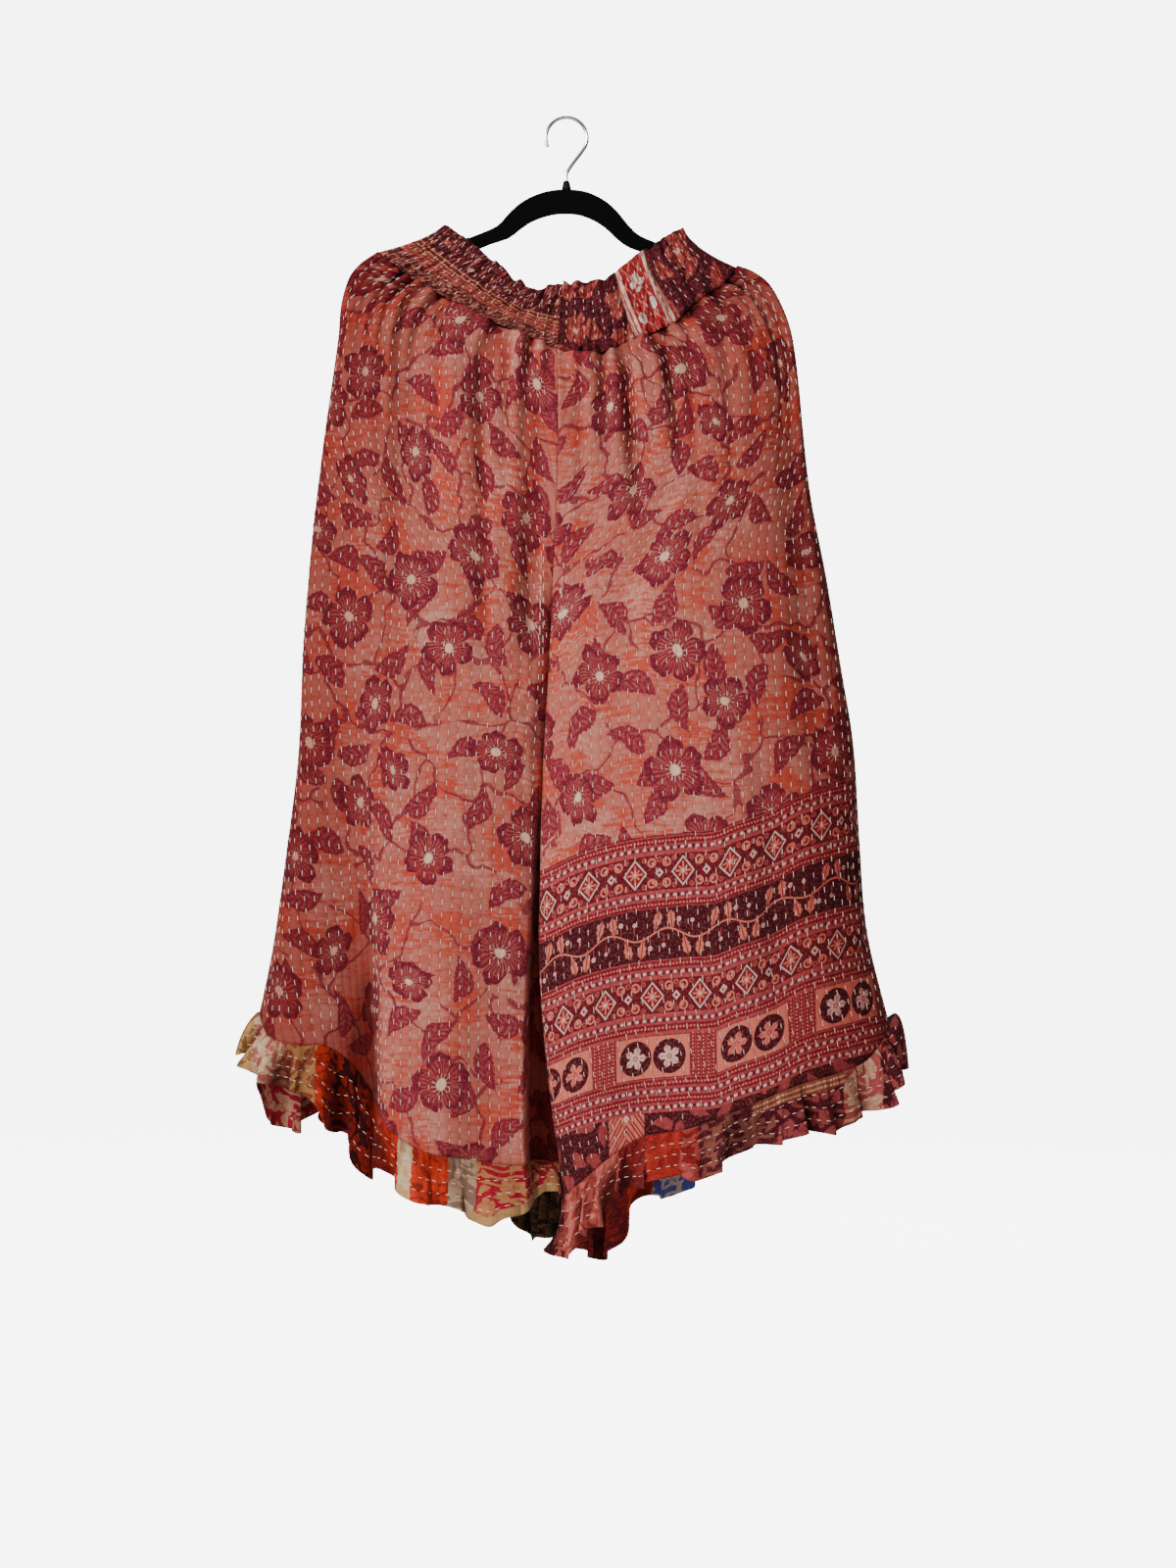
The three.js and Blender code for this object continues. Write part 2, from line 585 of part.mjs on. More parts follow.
// ---- Hanger: a flat board, cut to the outline of its arms and arch, and its wire hook ----
function hangerOutline() {
  const ends = [HANGER_LINE[0].x, HANGER_LINE[HANGER_LINE.length - 1].x];
  const edge = (sign) =>
    Array.from({ length: HANGER_STEPS + 1 }, (_, i) => {
      const x = lerp(ends[0], ends[1], i / HANGER_STEPS);
      const half = column(HANGER_LINE, "half", x, "x") - HANGER_EDGE;
      return new THREE.Vector2(x, column(HANGER_LINE, "z", x, "x") + sign * half);
    });
  return new THREE.Shape([...edge(-1), ...edge(1).reverse()]);
}

const board = new THREE.ExtrudeGeometry(hangerOutline(), {
  depth: HANGER_THICK - 2 * HANGER_EDGE,
  bevelThickness: HANGER_EDGE,
  bevelSize: HANGER_EDGE,
  bevelSegments: 1,
  steps: 1,
});
board.translate(0, 0, HANGER_EDGE - HANGER_THICK / 2);
board.rotateX(Math.PI / 2);
add("hanger_board", board, 0x0b0b0d, 1);

const boardTop = column(HANGER_LINE, "z", 0, "x") + column(HANGER_LINE, "half", 0, "x");
const collarFoot = boardTop + SEAM_GAP;
const collar = new THREE.LatheGeometry(
  [
    new THREE.Vector2(0, collarFoot),
    new THREE.Vector2(COLLAR_RADIUS, collarFoot),
    new THREE.Vector2(COLLAR_RADIUS * 0.8, lerp(collarFoot, COLLAR_TOP, 0.6)),
    new THREE.Vector2(COLLAR_RADIUS * 0.55, COLLAR_TOP),
    new THREE.Vector2(0, COLLAR_TOP),
  ],
  16,
);
collar.rotateX(Math.PI / 2);
add("hanger_collar", collar, 0x14151c, 0.5);

// The wire rises from the collar, swings out to one side and goes over the rail.
function hookPath() {
  const middle = -(HOOK_RADIUS - WIRE_RADIUS);
  const points = [new THREE.Vector3(0, 0, COLLAR_TOP + SEAM_GAP), new THREE.Vector3(0, 0, COLLAR_TOP + 7)];
  const arcSteps = 14;
  for (let i = 0; i <= arcSteps; i += 1) {
    const angle = THREE.MathUtils.degToRad(lerp(-42, 205, i / arcSteps));
    points.push(new THREE.Vector3(HOOK_RADIUS * Math.cos(angle), 0, middle + HOOK_RADIUS * Math.sin(angle)));
  }
  return new THREE.CatmullRomCurve3(points, false, "centripetal");
}

const WIRE_SIDES = 8;
const section = new THREE.Shape(
  Array.from({ length: WIRE_SIDES }, (_, i) => {
    const angle = (2 * Math.PI * i) / WIRE_SIDES;
    return new THREE.Vector2(WIRE_RADIUS * Math.cos(angle), WIRE_RADIUS * Math.sin(angle));
  }),
);
const hook = new THREE.ExtrudeGeometry(section, { steps: HOOK_STEPS, extrudePath: hookPath(), bevelEnabled: false });
add("hanger_hook", hook, 0xc9ccd0, 0.25, 1);

export default root;
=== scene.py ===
"""Wide-legged capri trousers of hand-quilted sari cotton, with ruffled hems, on a flocked hanger."""
import math

import bmesh
import bpy
import numpy as np
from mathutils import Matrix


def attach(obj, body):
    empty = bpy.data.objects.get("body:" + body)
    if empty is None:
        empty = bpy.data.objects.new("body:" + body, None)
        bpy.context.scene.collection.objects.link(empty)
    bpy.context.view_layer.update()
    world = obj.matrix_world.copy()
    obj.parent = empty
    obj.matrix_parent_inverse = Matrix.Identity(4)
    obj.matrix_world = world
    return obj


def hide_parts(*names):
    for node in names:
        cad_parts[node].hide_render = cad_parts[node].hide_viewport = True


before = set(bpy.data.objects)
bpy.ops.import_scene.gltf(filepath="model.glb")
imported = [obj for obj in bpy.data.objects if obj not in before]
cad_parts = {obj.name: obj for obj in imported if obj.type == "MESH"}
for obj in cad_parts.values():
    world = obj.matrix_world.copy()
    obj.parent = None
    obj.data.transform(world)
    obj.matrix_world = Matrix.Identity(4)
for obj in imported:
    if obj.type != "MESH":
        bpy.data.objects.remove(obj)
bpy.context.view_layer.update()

# ---- The four panels: the front and the back of each leg, cut in one with its half of the seat ----
# Two layers of block-printed sari cotton, run together by hand in rows 10 mm apart. Each panel is
# sewn to its neighbours at the side seam and inseam, and drawn up into the waistband.
MM = 0.001
CLOTH = 1.8
SIDES = {"left": -1, "right": 1}
FACES = {"front": -1, "back": 1}
# Shares of the way down at which the halves start to close on each other, and at which the legs part.
WRAP_START = 0.1
CROTCH = 0.36
# The lower, the squarer the panel turns the corner at its edges.
ROUNDING = 0.6
INSEAM_ROUNDING = {"front": 0.5, "back": 1.1}
# The small gathers at the elastic: how many, how deep, and how soon they are let out.
GATHERS = 16
GATHER_DEPTH = 2.3
GATHER_RELEASE = 0.06
PANEL_FALL = 860
PANEL_WIDTH = 330

# Rows are share of the way from waist to hem, then x and z.
SIDE_SEAM = {
    "left": [
        (0.0, -182, -130), (0.025, -200, -142), (0.046, -210, -155), (0.084, -217.5, -181),
        (0.126, -220, -212), (0.271, -235, -322), (0.398, -246, -417), (0.524, -253.5, -512),
        (0.663, -258.5, -616), (0.789, -270, -711), (0.91, -283, -802), (1.0, -296, -866),
    ],
    "right": [
        (0.0, 165, -143), (0.023, 181, -149), (0.047, 196, -161), (0.098, 213, -195),
        (0.147, 221, -232), (0.316, 235, -360), (0.43, 251, -445), (0.544, 265, -531),
        (0.646, 277, -607), (0.771, 283, -702), (0.884, 290, -787), (1.0, 312, -878),
    ],
}
# Share, x, z, then how much lower than that the right leg's inseam hangs, and higher the left leg's.
CENTRE = [
    (0.0, -8.5, -226, 0), (0.17, -8.5, -360, 0), (0.25, -12, -426, 0), (0.36, -16, -512, 0),
    (0.49, -22, -616, 1), (0.63, -25, -730, 2), (0.76, -25, -835, 5), (0.89, -16, -939, 10),
    (1.0, -4, -1027, 15),
]
CENTRE_BY_FALL = [(-z, x) for _, x, z, _ in CENTRE]
# Share of the way down, then how far the front and the back stand out from the side seam.
DEPTH = [
    (0.0, 15, 15), (0.08, 23, 22), (0.2, 32, 30), (0.36, 42, 40), (0.6, 51, 48), (0.85, 58, 54),
    (1.0, 60, 57),
]
# The seam under the waistband, as x and z.
WAIST_SEAM = [
    (-182, -130), (-165, -144), (-141, -161), (-103, -182), (-65, -201), (-31, -215), (-8.5, -226),
    (34, -228), (64, -216), (104, -199), (127, -178), (152, -160), (165, -145),
]
# Share of the hem from the side seam in, then how much higher it hangs than a straight one.
HEM_DROOP = {
    ("left", "front"): [
        (0.0, 0), (0.045, -13), (0.14, -7), (0.22, 4), (0.32, -6), (0.43, -38), (0.55, -45),
        (0.7, -33), (0.83, -20), (0.92, -8), (1.0, 0),
    ],
    ("left", "back"): [
        (0.0, 0), (0.05, -34), (0.12, -46), (0.18, -24), (0.24, -40), (0.33, -47), (0.6, -36),
        (0.8, -20), (1.0, 0),
    ],
    ("right", "front"): [
        (0.0, 0), (0.08, -16), (0.16, -14), (0.3, -4), (0.47, 2), (0.62, 9), (0.75, 22), (0.81, 22),
        (0.89, 16), (1.0, 0),
    ],
    ("right", "back"): [
        (0.0, 0), (0.14, -22), (0.3, -18), (0.45, -6), (0.55, -14), (0.66, -24), (0.76, -18),
        (0.9, -30), (1.0, 0),
    ],
}
# How far the left leg's front stands back from the inseam, by the share of the way down.
WEDGE = [(0.0, 0), (0.5, 0), (0.63, 4), (0.76, 9), (0.89, 19), (1.0, 28)]
# Top x and z, bottom x and z, depth at the top and bottom, width to the left and right.
FOLDS = {
    ("left", "front"): [
        (-198, -540, -187, -1000, 3, 50, 52, 11), (-84, -215, -77, -450, 8, 6, 14, 5),
        (-62, -560, -80, -1030, 1, 9, 30, 30), (-30, -250, -32, -450, 8, 9, 14, 7),
        (-150, -140, -160, -420, 6, 3, 12, 16), (-118, -150, -124, -300, 7, 4, 9, 4),
        (-56, -185, -58, -290, 8, 5, 8, 4),
    ],
    ("right", "front"): [
        (56, -190, 64, -300, 17, 15, 10, 3.5), (12, -210, 12, -340, 7, 5, 9, 5),
        (36, -195, 37, -250, 10, 8, 8, 3.5), (92, -185, 103, -270, 9, 7, 8, 3.5),
        (116, -170, 127, -360, 7, 4, 11, 5), (190, -600, 202, -800, 3, 8, 14, 24),
        (60, -700, 66, -1030, 1, 8, 34, 30), (205, -230, 236, -560, 4, 6, 14, 14),
        (150, -140, 160, -300, 7, 4, 10, 5),
    ],
    ("left", "back"): [
        (-60, -240, -95, -1030, 5, 26, 24, 20), (-150, -200, -205, -960, 5, 28, 26, 22),
    ],
    ("right", "back"): [
        (50, -240, 80, -1030, 5, 24, 22, 26), (140, -210, 205, -960, 5, 30, 22, 26),
    ],
}
FOLD_FADE = 60
FOLD_TAIL = 110
# A fold deeper than this at its top is a pressed pleat, and gets this much painted shade.
PLEAT_DEPTH = 4
PLEAT_SHADE = {"front": 0.85, "back": 0.3}
# At this depth in a fold the painted shade is full.
FOLD_FULL_SHADE = {"front": 34, "back": 64}
LATTICE = 61


def smoothstep(low, high, value):
    share = np.clip((value - low) / (high - low), 0, 1)
    return share * share * (3 - 2 * share)


def lerp(low, high, share):
    return low + (high - low) * share


def along(table, at, which=1):
    """A smooth curve through one column of a table whose rows are in order of their first."""
    keys = np.array([row[0] for row in table], float)
    values = np.array([row[which] for row in table], float)
    places = np.arange(len(keys))
    low, high = np.maximum(places - 1, 0), np.minimum(places + 1, len(keys) - 1)
    slopes = (values[high] - values[low]) / (keys[high] - keys[low])
    i = np.clip(np.searchsorted(keys, at, side="right") - 1, 0, len(keys) - 2)
    step = keys[i + 1] - keys[i]
    share = np.clip((at - keys[i]) / step, 0, 1)
    square, cube = share**2, share**3
    return (
        (2 * cube - 3 * square + 1) * values[i]
        + (cube - 2 * square + share) * step * slopes[i]
        + (3 * square - 2 * cube) * values[i + 1]
        + (cube - square) * step * slopes[i + 1]
    )


def ripples(u, v, width, length, seed):
    """Smooth random waves between -1 and 1, of about this width and length."""
    lattice = np.random.default_rng(seed).uniform(-1, 1, (LATTICE, LATTICE))
    a, b = np.broadcast_arrays(u / width, v / length)
    left, top = np.floor(a).astype(int), np.floor(b).astype(int)
    x, y = smoothstep(0, 1, a - left), smoothstep(0, 1, b - top)
    left, right = left % LATTICE, (left + 1) % LATTICE
    top, bottom = top % LATTICE, (top + 1) % LATTICE
    upper = lerp(lattice[left, top], lattice[right, top], x)
    lower = lerp(lattice[left, bottom], lattice[right, bottom], x)
    return lerp(upper, lower, y)


def facing_of(points, sense):
    """Unit normals of a grid of points, across its columns times down its rows."""
    normals = np.cross(np.gradient(points, axis=1), np.gradient(points, axis=0)) * sense
    return normals / np.maximum(np.linalg.norm(normals, axis=2, keepdims=True), 1e-9)


def fold_depth(fold, x, z):
    """How deep one fold is at each place: it fades in at its top and runs out below its bottom."""
    x0, z0, x1, z1, depth0, depth1, wide_left, wide_right = fold
    fall = (z0 - z) / (z0 - z1)
    reach = smoothstep(-(z0 + FOLD_FADE / 2), -(z0 - FOLD_FADE), -z)
    tail = 1 - smoothstep(-z1, -(z1 - FOLD_TAIL), -z)
    off = x - lerp(x0, x1, fall)
    wide = np.where(off < 0, wide_left, wide_right)
    return reach * tail * lerp(depth0, depth1, np.clip(fall, 0, 1)) * np.exp(-((off / wide) ** 2))


def hang_panel(side, face, rows, columns):
    """Middle surface of a panel: rows from the waist to the hem, columns from the side seam in.

    With it come how much painted shade each place gets, and where no thread is seen.
    """
    sign, outward = SIDES[side], FACES[face]
    t = np.linspace(0, 1, rows)[:, None] ** 1.15
    across = np.linspace(0, 1, columns)[None, :]
    wrap = math.pi * lerp(0.5, 1, smoothstep(WRAP_START, CROTCH, t))
    turn = wrap * across
    share = (1 - np.cos(turn)) / (1 - np.cos(wrap))
    seam = SIDE_SEAM[side]
    inner_z = along(CENTRE, t, 2) - sign * along(CENTRE, t, 3)
    beside = (CLOTH / 2 - 0.1) * np.maximum(0, -np.cos(wrap)) ** 3 - 0.3
    inner_x = along(CENTRE_BY_FALL, -inner_z) + sign * beside
    waist_x = lerp(seam[0][1], CENTRE[0][1], share)
    waist_droop = along(WAIST_SEAM, waist_x) - lerp(seam[0][2], CENTRE[0][2], share)
    hem_droop = along(HEM_DROOP[side, face], share)
    z = lerp(along(seam, t, 2), inner_z, share) + (1 - t) ** 2 * waist_droop + t**2 * hem_droop
    rolled = lerp(ROUNDING, INSEAM_ROUNDING[face], smoothstep(CROTCH, 0.8, t) * smoothstep(0.55, 1, across))
    y = outward * along(DEPTH, t, 1 if face == "front" else 2) * np.sin(turn) ** rolled
    x = lerp(along(seam, t, 1), inner_x, share)
    wedge = along(WEDGE, t) if (side, face) == ("left", "front") else 0 * t
    hidden = smoothstep(0, 3, wedge) * (1 - smoothstep(wedge - 2, wedge + 3, sign * (x - inner_x)))
    y = y * (1 - 0.85 * hidden)
    points = np.stack(np.broadcast_arrays(x, y, z), axis=2)
    facing = facing_of(points, -sign * outward)
    folds = [(fold[4], fold_depth(fold, points[..., 0], points[..., 2])) for fold in FOLDS[side, face]]
    at_inseam = np.where(t < WRAP_START, 1, smoothstep(0, 0.14, 1 - across))
    sunk = sum(depth for _, depth in folds) * smoothstep(0, 0.18, across) * at_inseam
    pressed = sum(depth for top_depth, depth in folds if top_depth > PLEAT_DEPTH)
    edge = smoothstep(0, 0.02, across) * np.where(t < CROTCH, 1, smoothstep(0, 0.02, 1 - across))
    swing = np.minimum(1, 2 * np.sin(math.pi * across / 2))
    crest = GATHER_DEPTH * np.cos(2 * math.pi * GATHERS * across) * swing * np.exp(-t / GATHER_RELEASE)
    # Loose gathers of uneven width run on down from the small even ones at the elastic.
    seed = 10 + 2 * sign + outward
    fall = t * PANEL_FALL
    width = across * PANEL_WIDTH
    loose = 6.5 * ripples(width, fall, 12, 500, seed) * np.exp(-t / 0.1)
    pleats = ripples(width, fall, 24, 420, seed + 20)
    loose = loose + (8.5 * pleats - 4.5 * np.maximum(pleats, 0) ** 2) * np.exp(-t / 0.24)
    loose = loose + 4.0 * ripples(width, fall, 58, 330, seed + 40) * smoothstep(0, 0.3, t)
    loose = loose + 0.55 * ripples(width, fall, 9, 24, seed + 60) * smoothstep(0, 0.1, t)
    loose = loose * smoothstep(0, 0.12, across) * smoothstep(0, 0.09, 1 - across)
    bulge = edge * (crest + loose - sunk)
    valleys = 0.95 * np.clip(-(crest + loose) / 4.5, 0, 1) * np.exp(-t / 0.17)
    # Painted shade: the sides, fold bottoms, pleats, gather valleys and the gap between the legs get darker.
    beside_seam = 1 - smoothstep(0, 150, sign * (along(seam, t, 1) - x))
    in_pleats = np.minimum(0.12 * pressed, PLEAT_SHADE[face])
    dark = np.broadcast_arrays(sunk / FOLD_FULL_SHADE[face], hidden, 0.9 * beside_seam, valleys, in_pleats)
    kept = np.clip(np.maximum.reduce(dark), 0, 1)
    # The thread can't be seen there, nor where the cloth turns in between the legs.
    turned_in = (np.abs(facing[..., 1]) < 0.45) & (across > 0.5) & (t > CROTCH)
    unseen = np.maximum(np.maximum(hidden, turned_in), smoothstep(20, 30, sunk))
    return points + facing * bulge[..., None], kept, unseen


def cloth_piece(name, points, sense, maps, thickness=CLOTH):
    """A sheet through a grid of points, with a UV map for each pair of widths and lengths."""
    rows, columns = points.shape[:2]
    shape = bmesh.new()
    bmesh.ops.create_grid(shape, x_segments=columns - 1, y_segments=rows - 1, size=0.5)
    for vertex, place in zip(shape.verts, points.reshape(-1, 3) * MM):
        vertex.co = place
    if sense < 0:
        bmesh.ops.reverse_faces(shape, faces=shape.faces[:])
    mesh = bpy.data.meshes.new(name)
    shape.to_mesh(mesh)
    shape.free()
    mesh.polygons.foreach_set("use_smooth", np.ones(len(mesh.polygons), bool))
    corners = np.empty(len(mesh.loops), int)
    mesh.loops.foreach_get("vertex_index", corners)
    for label, (u, v) in maps.items():
        pairs = np.stack(np.broadcast_arrays(u, v), axis=2).reshape(-1, 2) * MM
        mesh.uv_layers.new(name=label).data.foreach_set("uv", pairs[corners].ravel())
    piece = bpy.data.objects.new(name, mesh)
    bpy.context.scene.collection.objects.link(piece)
    wall = piece.modifiers.new("two layers", "SOLIDIFY")
    wall.thickness = thickness * MM
    wall.offset = 0
    return piece


# Where across a panel the threads run straight down, and how much wider it is cut at the waist.
STRAIGHT_GRAIN = 0.55
WAIST_FULLNESS = 0.35


def arc_lengths(points, axis):
    steps = np.linalg.norm(np.diff(points, axis=axis), axis=2)
    pad = [(0, 0), (0, 0)]
    pad[axis] = (1, 0)
    return np.cumsum(np.pad(steps, pad), axis=axis)


def cut_lengths(points, side):
    """How far each point of a panel lies across and down the flat cloth that it was cut from."""
    column = int(STRAIGHT_GRAIN * points.shape[1])
    drawn_up = 1 + WAIST_FULLNESS * np.exp(-np.linspace(0, 1, points.shape[0])[:, None] / 0.08)
    u = arc_lengths(points, 1)
    u = (u - u[:, column : column + 1]) * drawn_up * -SIDES[side]
    v = arc_lengths(points, 0) - points[0, :, 2][None, :]
    return u, v


class Wire:
    """A value on a link of a material's node tree, worked on as a number is."""

    def __init__(self, tree, socket):
        self.tree, self.socket = tree, socket

    def op(self, operation, *others):
        node = self.tree.nodes.new("ShaderNodeMath")
        node.operation = operation
        for place, value in enumerate((self, *others)):
            feed(self.tree, node.inputs[place], value)
        return Wire(self.tree, node.outputs[0])

    def __add__(self, other):
        return self.op("ADD", other)

    def __sub__(self, other):
        return self.op("SUBTRACT", other)

    def __rsub__(self, other):
        return self.op("MULTIPLY_ADD", -1.0, other)

    def __mul__(self, other):
        return self.op("MULTIPLY", other)

    def __truediv__(self, other):
        return self.op("DIVIDE", other)

    def __pow__(self, other):
        return self.op("POWER", other)

    def __abs__(self):
        return self.op("ABSOLUTE")

    __radd__, __rmul__ = __add__, __mul__

    def least(self, other):
        return self.op("MINIMUM", other)

    def most(self, other):
        return self.op("MAXIMUM", other)

    def wave(self, length=2 * math.pi):
        return (self * (2 * math.pi / length)).op("SINE")

    def wrapped(self, length):
        return self.op("WRAP", length / 2, -length / 2)

    def above(self, edge, soft=0.25):
        """1 above the edge and 0 below it, over a soft step."""
        node = self.tree.nodes.new("ShaderNodeMapRange")
        node.interpolation_type = "SMOOTHSTEP"
        feed(self.tree, node.inputs[0], self - edge if isinstance(edge, Wire) else self)
        middle = 0 if isinstance(edge, Wire) else edge
        node.inputs[1].default_value, node.inputs[2].default_value = middle - soft, middle + soft
        return Wire(self.tree, node.outputs[0])

    def below(self, edge, soft=0.25):
        return 1 - self.above(edge, soft)

    def near(self, edge, width, soft=0.25):
        return abs(self - edge).below(width, soft)


def feed(tree, socket, value):
    if isinstance(value, Wire):
        tree.links.new(value.socket, socket)
    elif value is not None:
        socket.default_value = value


def put(tree, kind, *values, out=0, **settings):
    """Adds a node, with its inputs in order, and gives one of its outputs."""
    node = tree.nodes.new("ShaderNode" + kind)
    for name, setting in settings.items():
        setattr(node, name, setting)
    for place, value in enumerate(values):
        feed(tree, node.inputs[place], value)
    return Wire(tree, node.outputs[out])


def colour(red, green, blue):
    """Display values from 0 to 255 as the linear colour of a socket."""
    linear = [((c / 255 + 0.055) / 1.055) ** 2.4 if c > 10 else c / 255 / 12.92 for c in (red, green, blue)]
    return (*linear, 1)


def mixed(tree, share, under, over):
    node = tree.nodes.new("ShaderNodeMix")
    node.data_type = "RGBA"
    for place, value in ((0, share), (6, under), (7, over)):
        feed(tree, node.inputs[place], value)
    return Wire(tree, node.outputs[2])


def painted(tree, under, *layers):
    """Lays pairs of a mask and a colour over a ground, in order."""
    for mask, over in layers:
        under = mixed(tree, mask, under, over)
    return under


def new_effect(name, inputs, outputs):
    """A node group, with its input wires by name and a function that feeds its outputs."""
    group = bpy.data.node_groups.new(name, "ShaderNodeTree")
    for label, kind, value in inputs:
        socket = group.interface.new_socket(label, in_out="INPUT", socket_type="NodeSocket" + kind)
        if value is not None:
            socket.default_value = value
    for label, kind in outputs:
        group.interface.new_socket(label, in_out="OUTPUT", socket_type="NodeSocket" + kind)
    way_in, way_out = group.nodes.new("NodeGroupInput"), group.nodes.new("NodeGroupOutput")
    wires = {label: Wire(group, way_in.outputs[label]) for label, _, _ in inputs}

    def give(**results):
        for label, value in results.items():
            feed(group, way_out.inputs[label.replace("_", " ")], value)

    return group, wires, give


def effect(tree, group, **values):
    """Places a node group, and gives its outputs by name."""
    node = tree.nodes.new("ShaderNodeGroup")
    node.node_tree = group
    for label, value in values.items():
        feed(tree, node.inputs[label], value)
    return {output.name: Wire(tree, output) for output in node.outputs}


def object_place(tree):
    return put(tree, "TexCoord", out=3)


def times(tree, vector, factors):
    return put(tree, "VectorMath", vector, factors, operation="MULTIPLY")


def noise(tree, place, size, detail=2.0, roughness=0.5, out=0, stretch=None):
    """Noise whose lumps are about this wide, in the units of the place."""
    if stretch:
        place = times(tree, place, stretch)
    return put(tree, "TexNoise", place, None, 1 / size, detail, roughness, out=out)


def millimetres(tree, label=None):
    """A place on a UV map, or with no label in the object, in millimetres."""
    place = put(tree, "UVMap", uv_map=label) if label else object_place(tree)
    return times(tree, place, (1000, 1000, 1000))


def shifted(tree, place, step):
    return put(tree, "VectorMath", place, step, operation="ADD")


def swayed(tree, place, size, detail, reach):
    """Moves a place a little to and fro, so that a repeat looks drawn by hand."""
    sway = noise(tree, place, size, detail, out=1)
    sway = put(tree, "VectorMath", sway, (0.5, 0.5, 0.5), operation="SUBTRACT")
    return put(tree, "VectorMath", sway, (reach, reach, 0), place, operation="MULTIPLY_ADD")


def parts_of(tree, vector):
    node = tree.nodes.new("ShaderNodeSeparateXYZ")
    feed(tree, node.inputs[0], vector)
    return Wire(tree, node.outputs[0]), Wire(tree, node.outputs[1])


def joined(tree, x, y):
    return put(tree, "CombineXYZ", x, y, 0.0)


def long(x, y):
    """How far a place lies from the middle."""
    return (x * x + y * y) ** 0.5


def turned(x, y, angle):
    cosine, sine = angle.op("COSINE"), angle.op("SINE")
    return x * cosine + y * sine, y * cosine - x * sine


# Effect: the block print's blossoms, leaves and twigs, as masks over the flat cloth.
BLOSSOM_REPEAT = 90
BLOSSOM_SIZE, BLOSSOM_SPREAD = 25.5, 6
LEAF_REPEAT = 52
LEAF_LENGTH, LEAF_WIDTH = 48, 21
TWIG_REPEAT = 68
# How far the clefts between its petals run into a blossom.
PETAL_CLEFT = 0.36
flower_print, given, give = new_effect(
    "flower print",
    [("Place", "Vector", None), ("Size", "Float", 1.0)],
    [(label, "Float") for label in ("Blossom", "Vein", "Rim", "Heart", "Leaf", "Leaf light", "Twig")],
)
tree = flower_print
place = put(tree, "VectorMath", given["Place"], None, None, given["Size"], operation="SCALE")
place = swayed(tree, place, 32, 2.0, 13)


def repeat_cells(tree, place, length, angle, loose):
    """Place from the middle of the nearest motif, and three random numbers for that motif."""
    spun = put(tree, "VectorRotate", place, (0, 0, 0), (0, 0, 1), angle)
    scaled = put(tree, "VectorMath", spun, None, None, 1 / length, operation="SCALE")
    node = tree.nodes.new("ShaderNodeTexVoronoi")
    node.voronoi_dimensions = "2D"
    node.inputs["Scale"].default_value = 1
    node.inputs["Randomness"].default_value = loose
    feed(tree, node.inputs["Vector"], scaled)
    local = put(tree, "VectorMath", scaled, Wire(tree, node.outputs["Position"]), operation="SUBTRACT")
    local = put(tree, "VectorMath", local, None, None, length, operation="SCALE")
    chance = tree.nodes.new("ShaderNodeSeparateColor")
    feed(tree, chance.inputs[0], Wire(tree, node.outputs["Color"]))
    return (*parts_of(tree, local), *(Wire(tree, output) for output in chance.outputs))


def blossom_masks(x, y, size):
    """A flower of five wavy petals: whole shape, pale veins and clefts, dark rim, and heart."""
    radius = long(x, y)
    angle = y.op("ARCTAN2", x)
    lobe = abs((angle * 2.5).op("COSINE"))
    edge = size * ((1 - PETAL_CLEFT) + PETAL_CLEFT * lobe**0.6) + (angle * 15).op("SINE") * (size * 0.025)
    whole = radius.below(edge, 0.5)
    gap = lobe.below(0.13, 0.05) * radius.above(size * 0.42, 1)
    rays = (angle * 30).op("SINE").above(0.45, 0.3)
    vein = rays * radius.above(size * 0.3, 1.5) * radius.below(size * 0.7, 3)
    rim = radius.above(edge - size * 0.2, 1.2)
    spokes = (angle * 12.5).op("SINE").above(0.6, 0.2) * radius.below(size * 0.33, 0.6)
    heart = radius.below(size * 0.17, 0.9).most(spokes * 0.45)
    return whole, gap.most(vein), rim, heart


def leaf_masks(x, y, length, width):
    """A pointed leaf along x: whole shape, and its paler inside with a dark rib and veins."""
    p = x / (length / 2)
    half = width / 2 * (1 - p * p).most(0) * (1 - 0.35 * p) + (x * 1.1).op("SINE") * 0.5
    off = abs(y)
    whole = off.below(half, 0.45) * abs(p).below(0.98, 0.02)
    veins = (x * 0.9 + off * 0.8).op("SINE").above(0.05, 0.35)
    inside = off.below(half - 3.2, 0.8) * off.above(0.9, 0.4) * veins
    return whole, inside


x, y, chance_a, chance_b, chance_c = repeat_cells(tree, place, BLOSSOM_REPEAT, 0.5, 0.45)
# Some blossoms are seen from the side.
side_on = chance_c.above(0.7, 0.01)
x, y = turned(x, y, chance_a * (2 * math.pi))
y = y * (1 + side_on * 0.45)
blossom, vein, rim, heart = blossom_masks(x, y, chance_b * BLOSSOM_SPREAD + BLOSSOM_SIZE)
x, y, chance_a, chance_b, chance_c = repeat_cells(tree, place, LEAF_REPEAT, 1.15, 0.5)
x, y = turned(x, y, chance_a * (2 * math.pi))
y = y + x * x * 0.014
leaf, leaf_light = leaf_masks(x, y, LEAF_LENGTH, LEAF_WIDTH)
leaf = leaf * chance_b.below(0.96, 0.01)
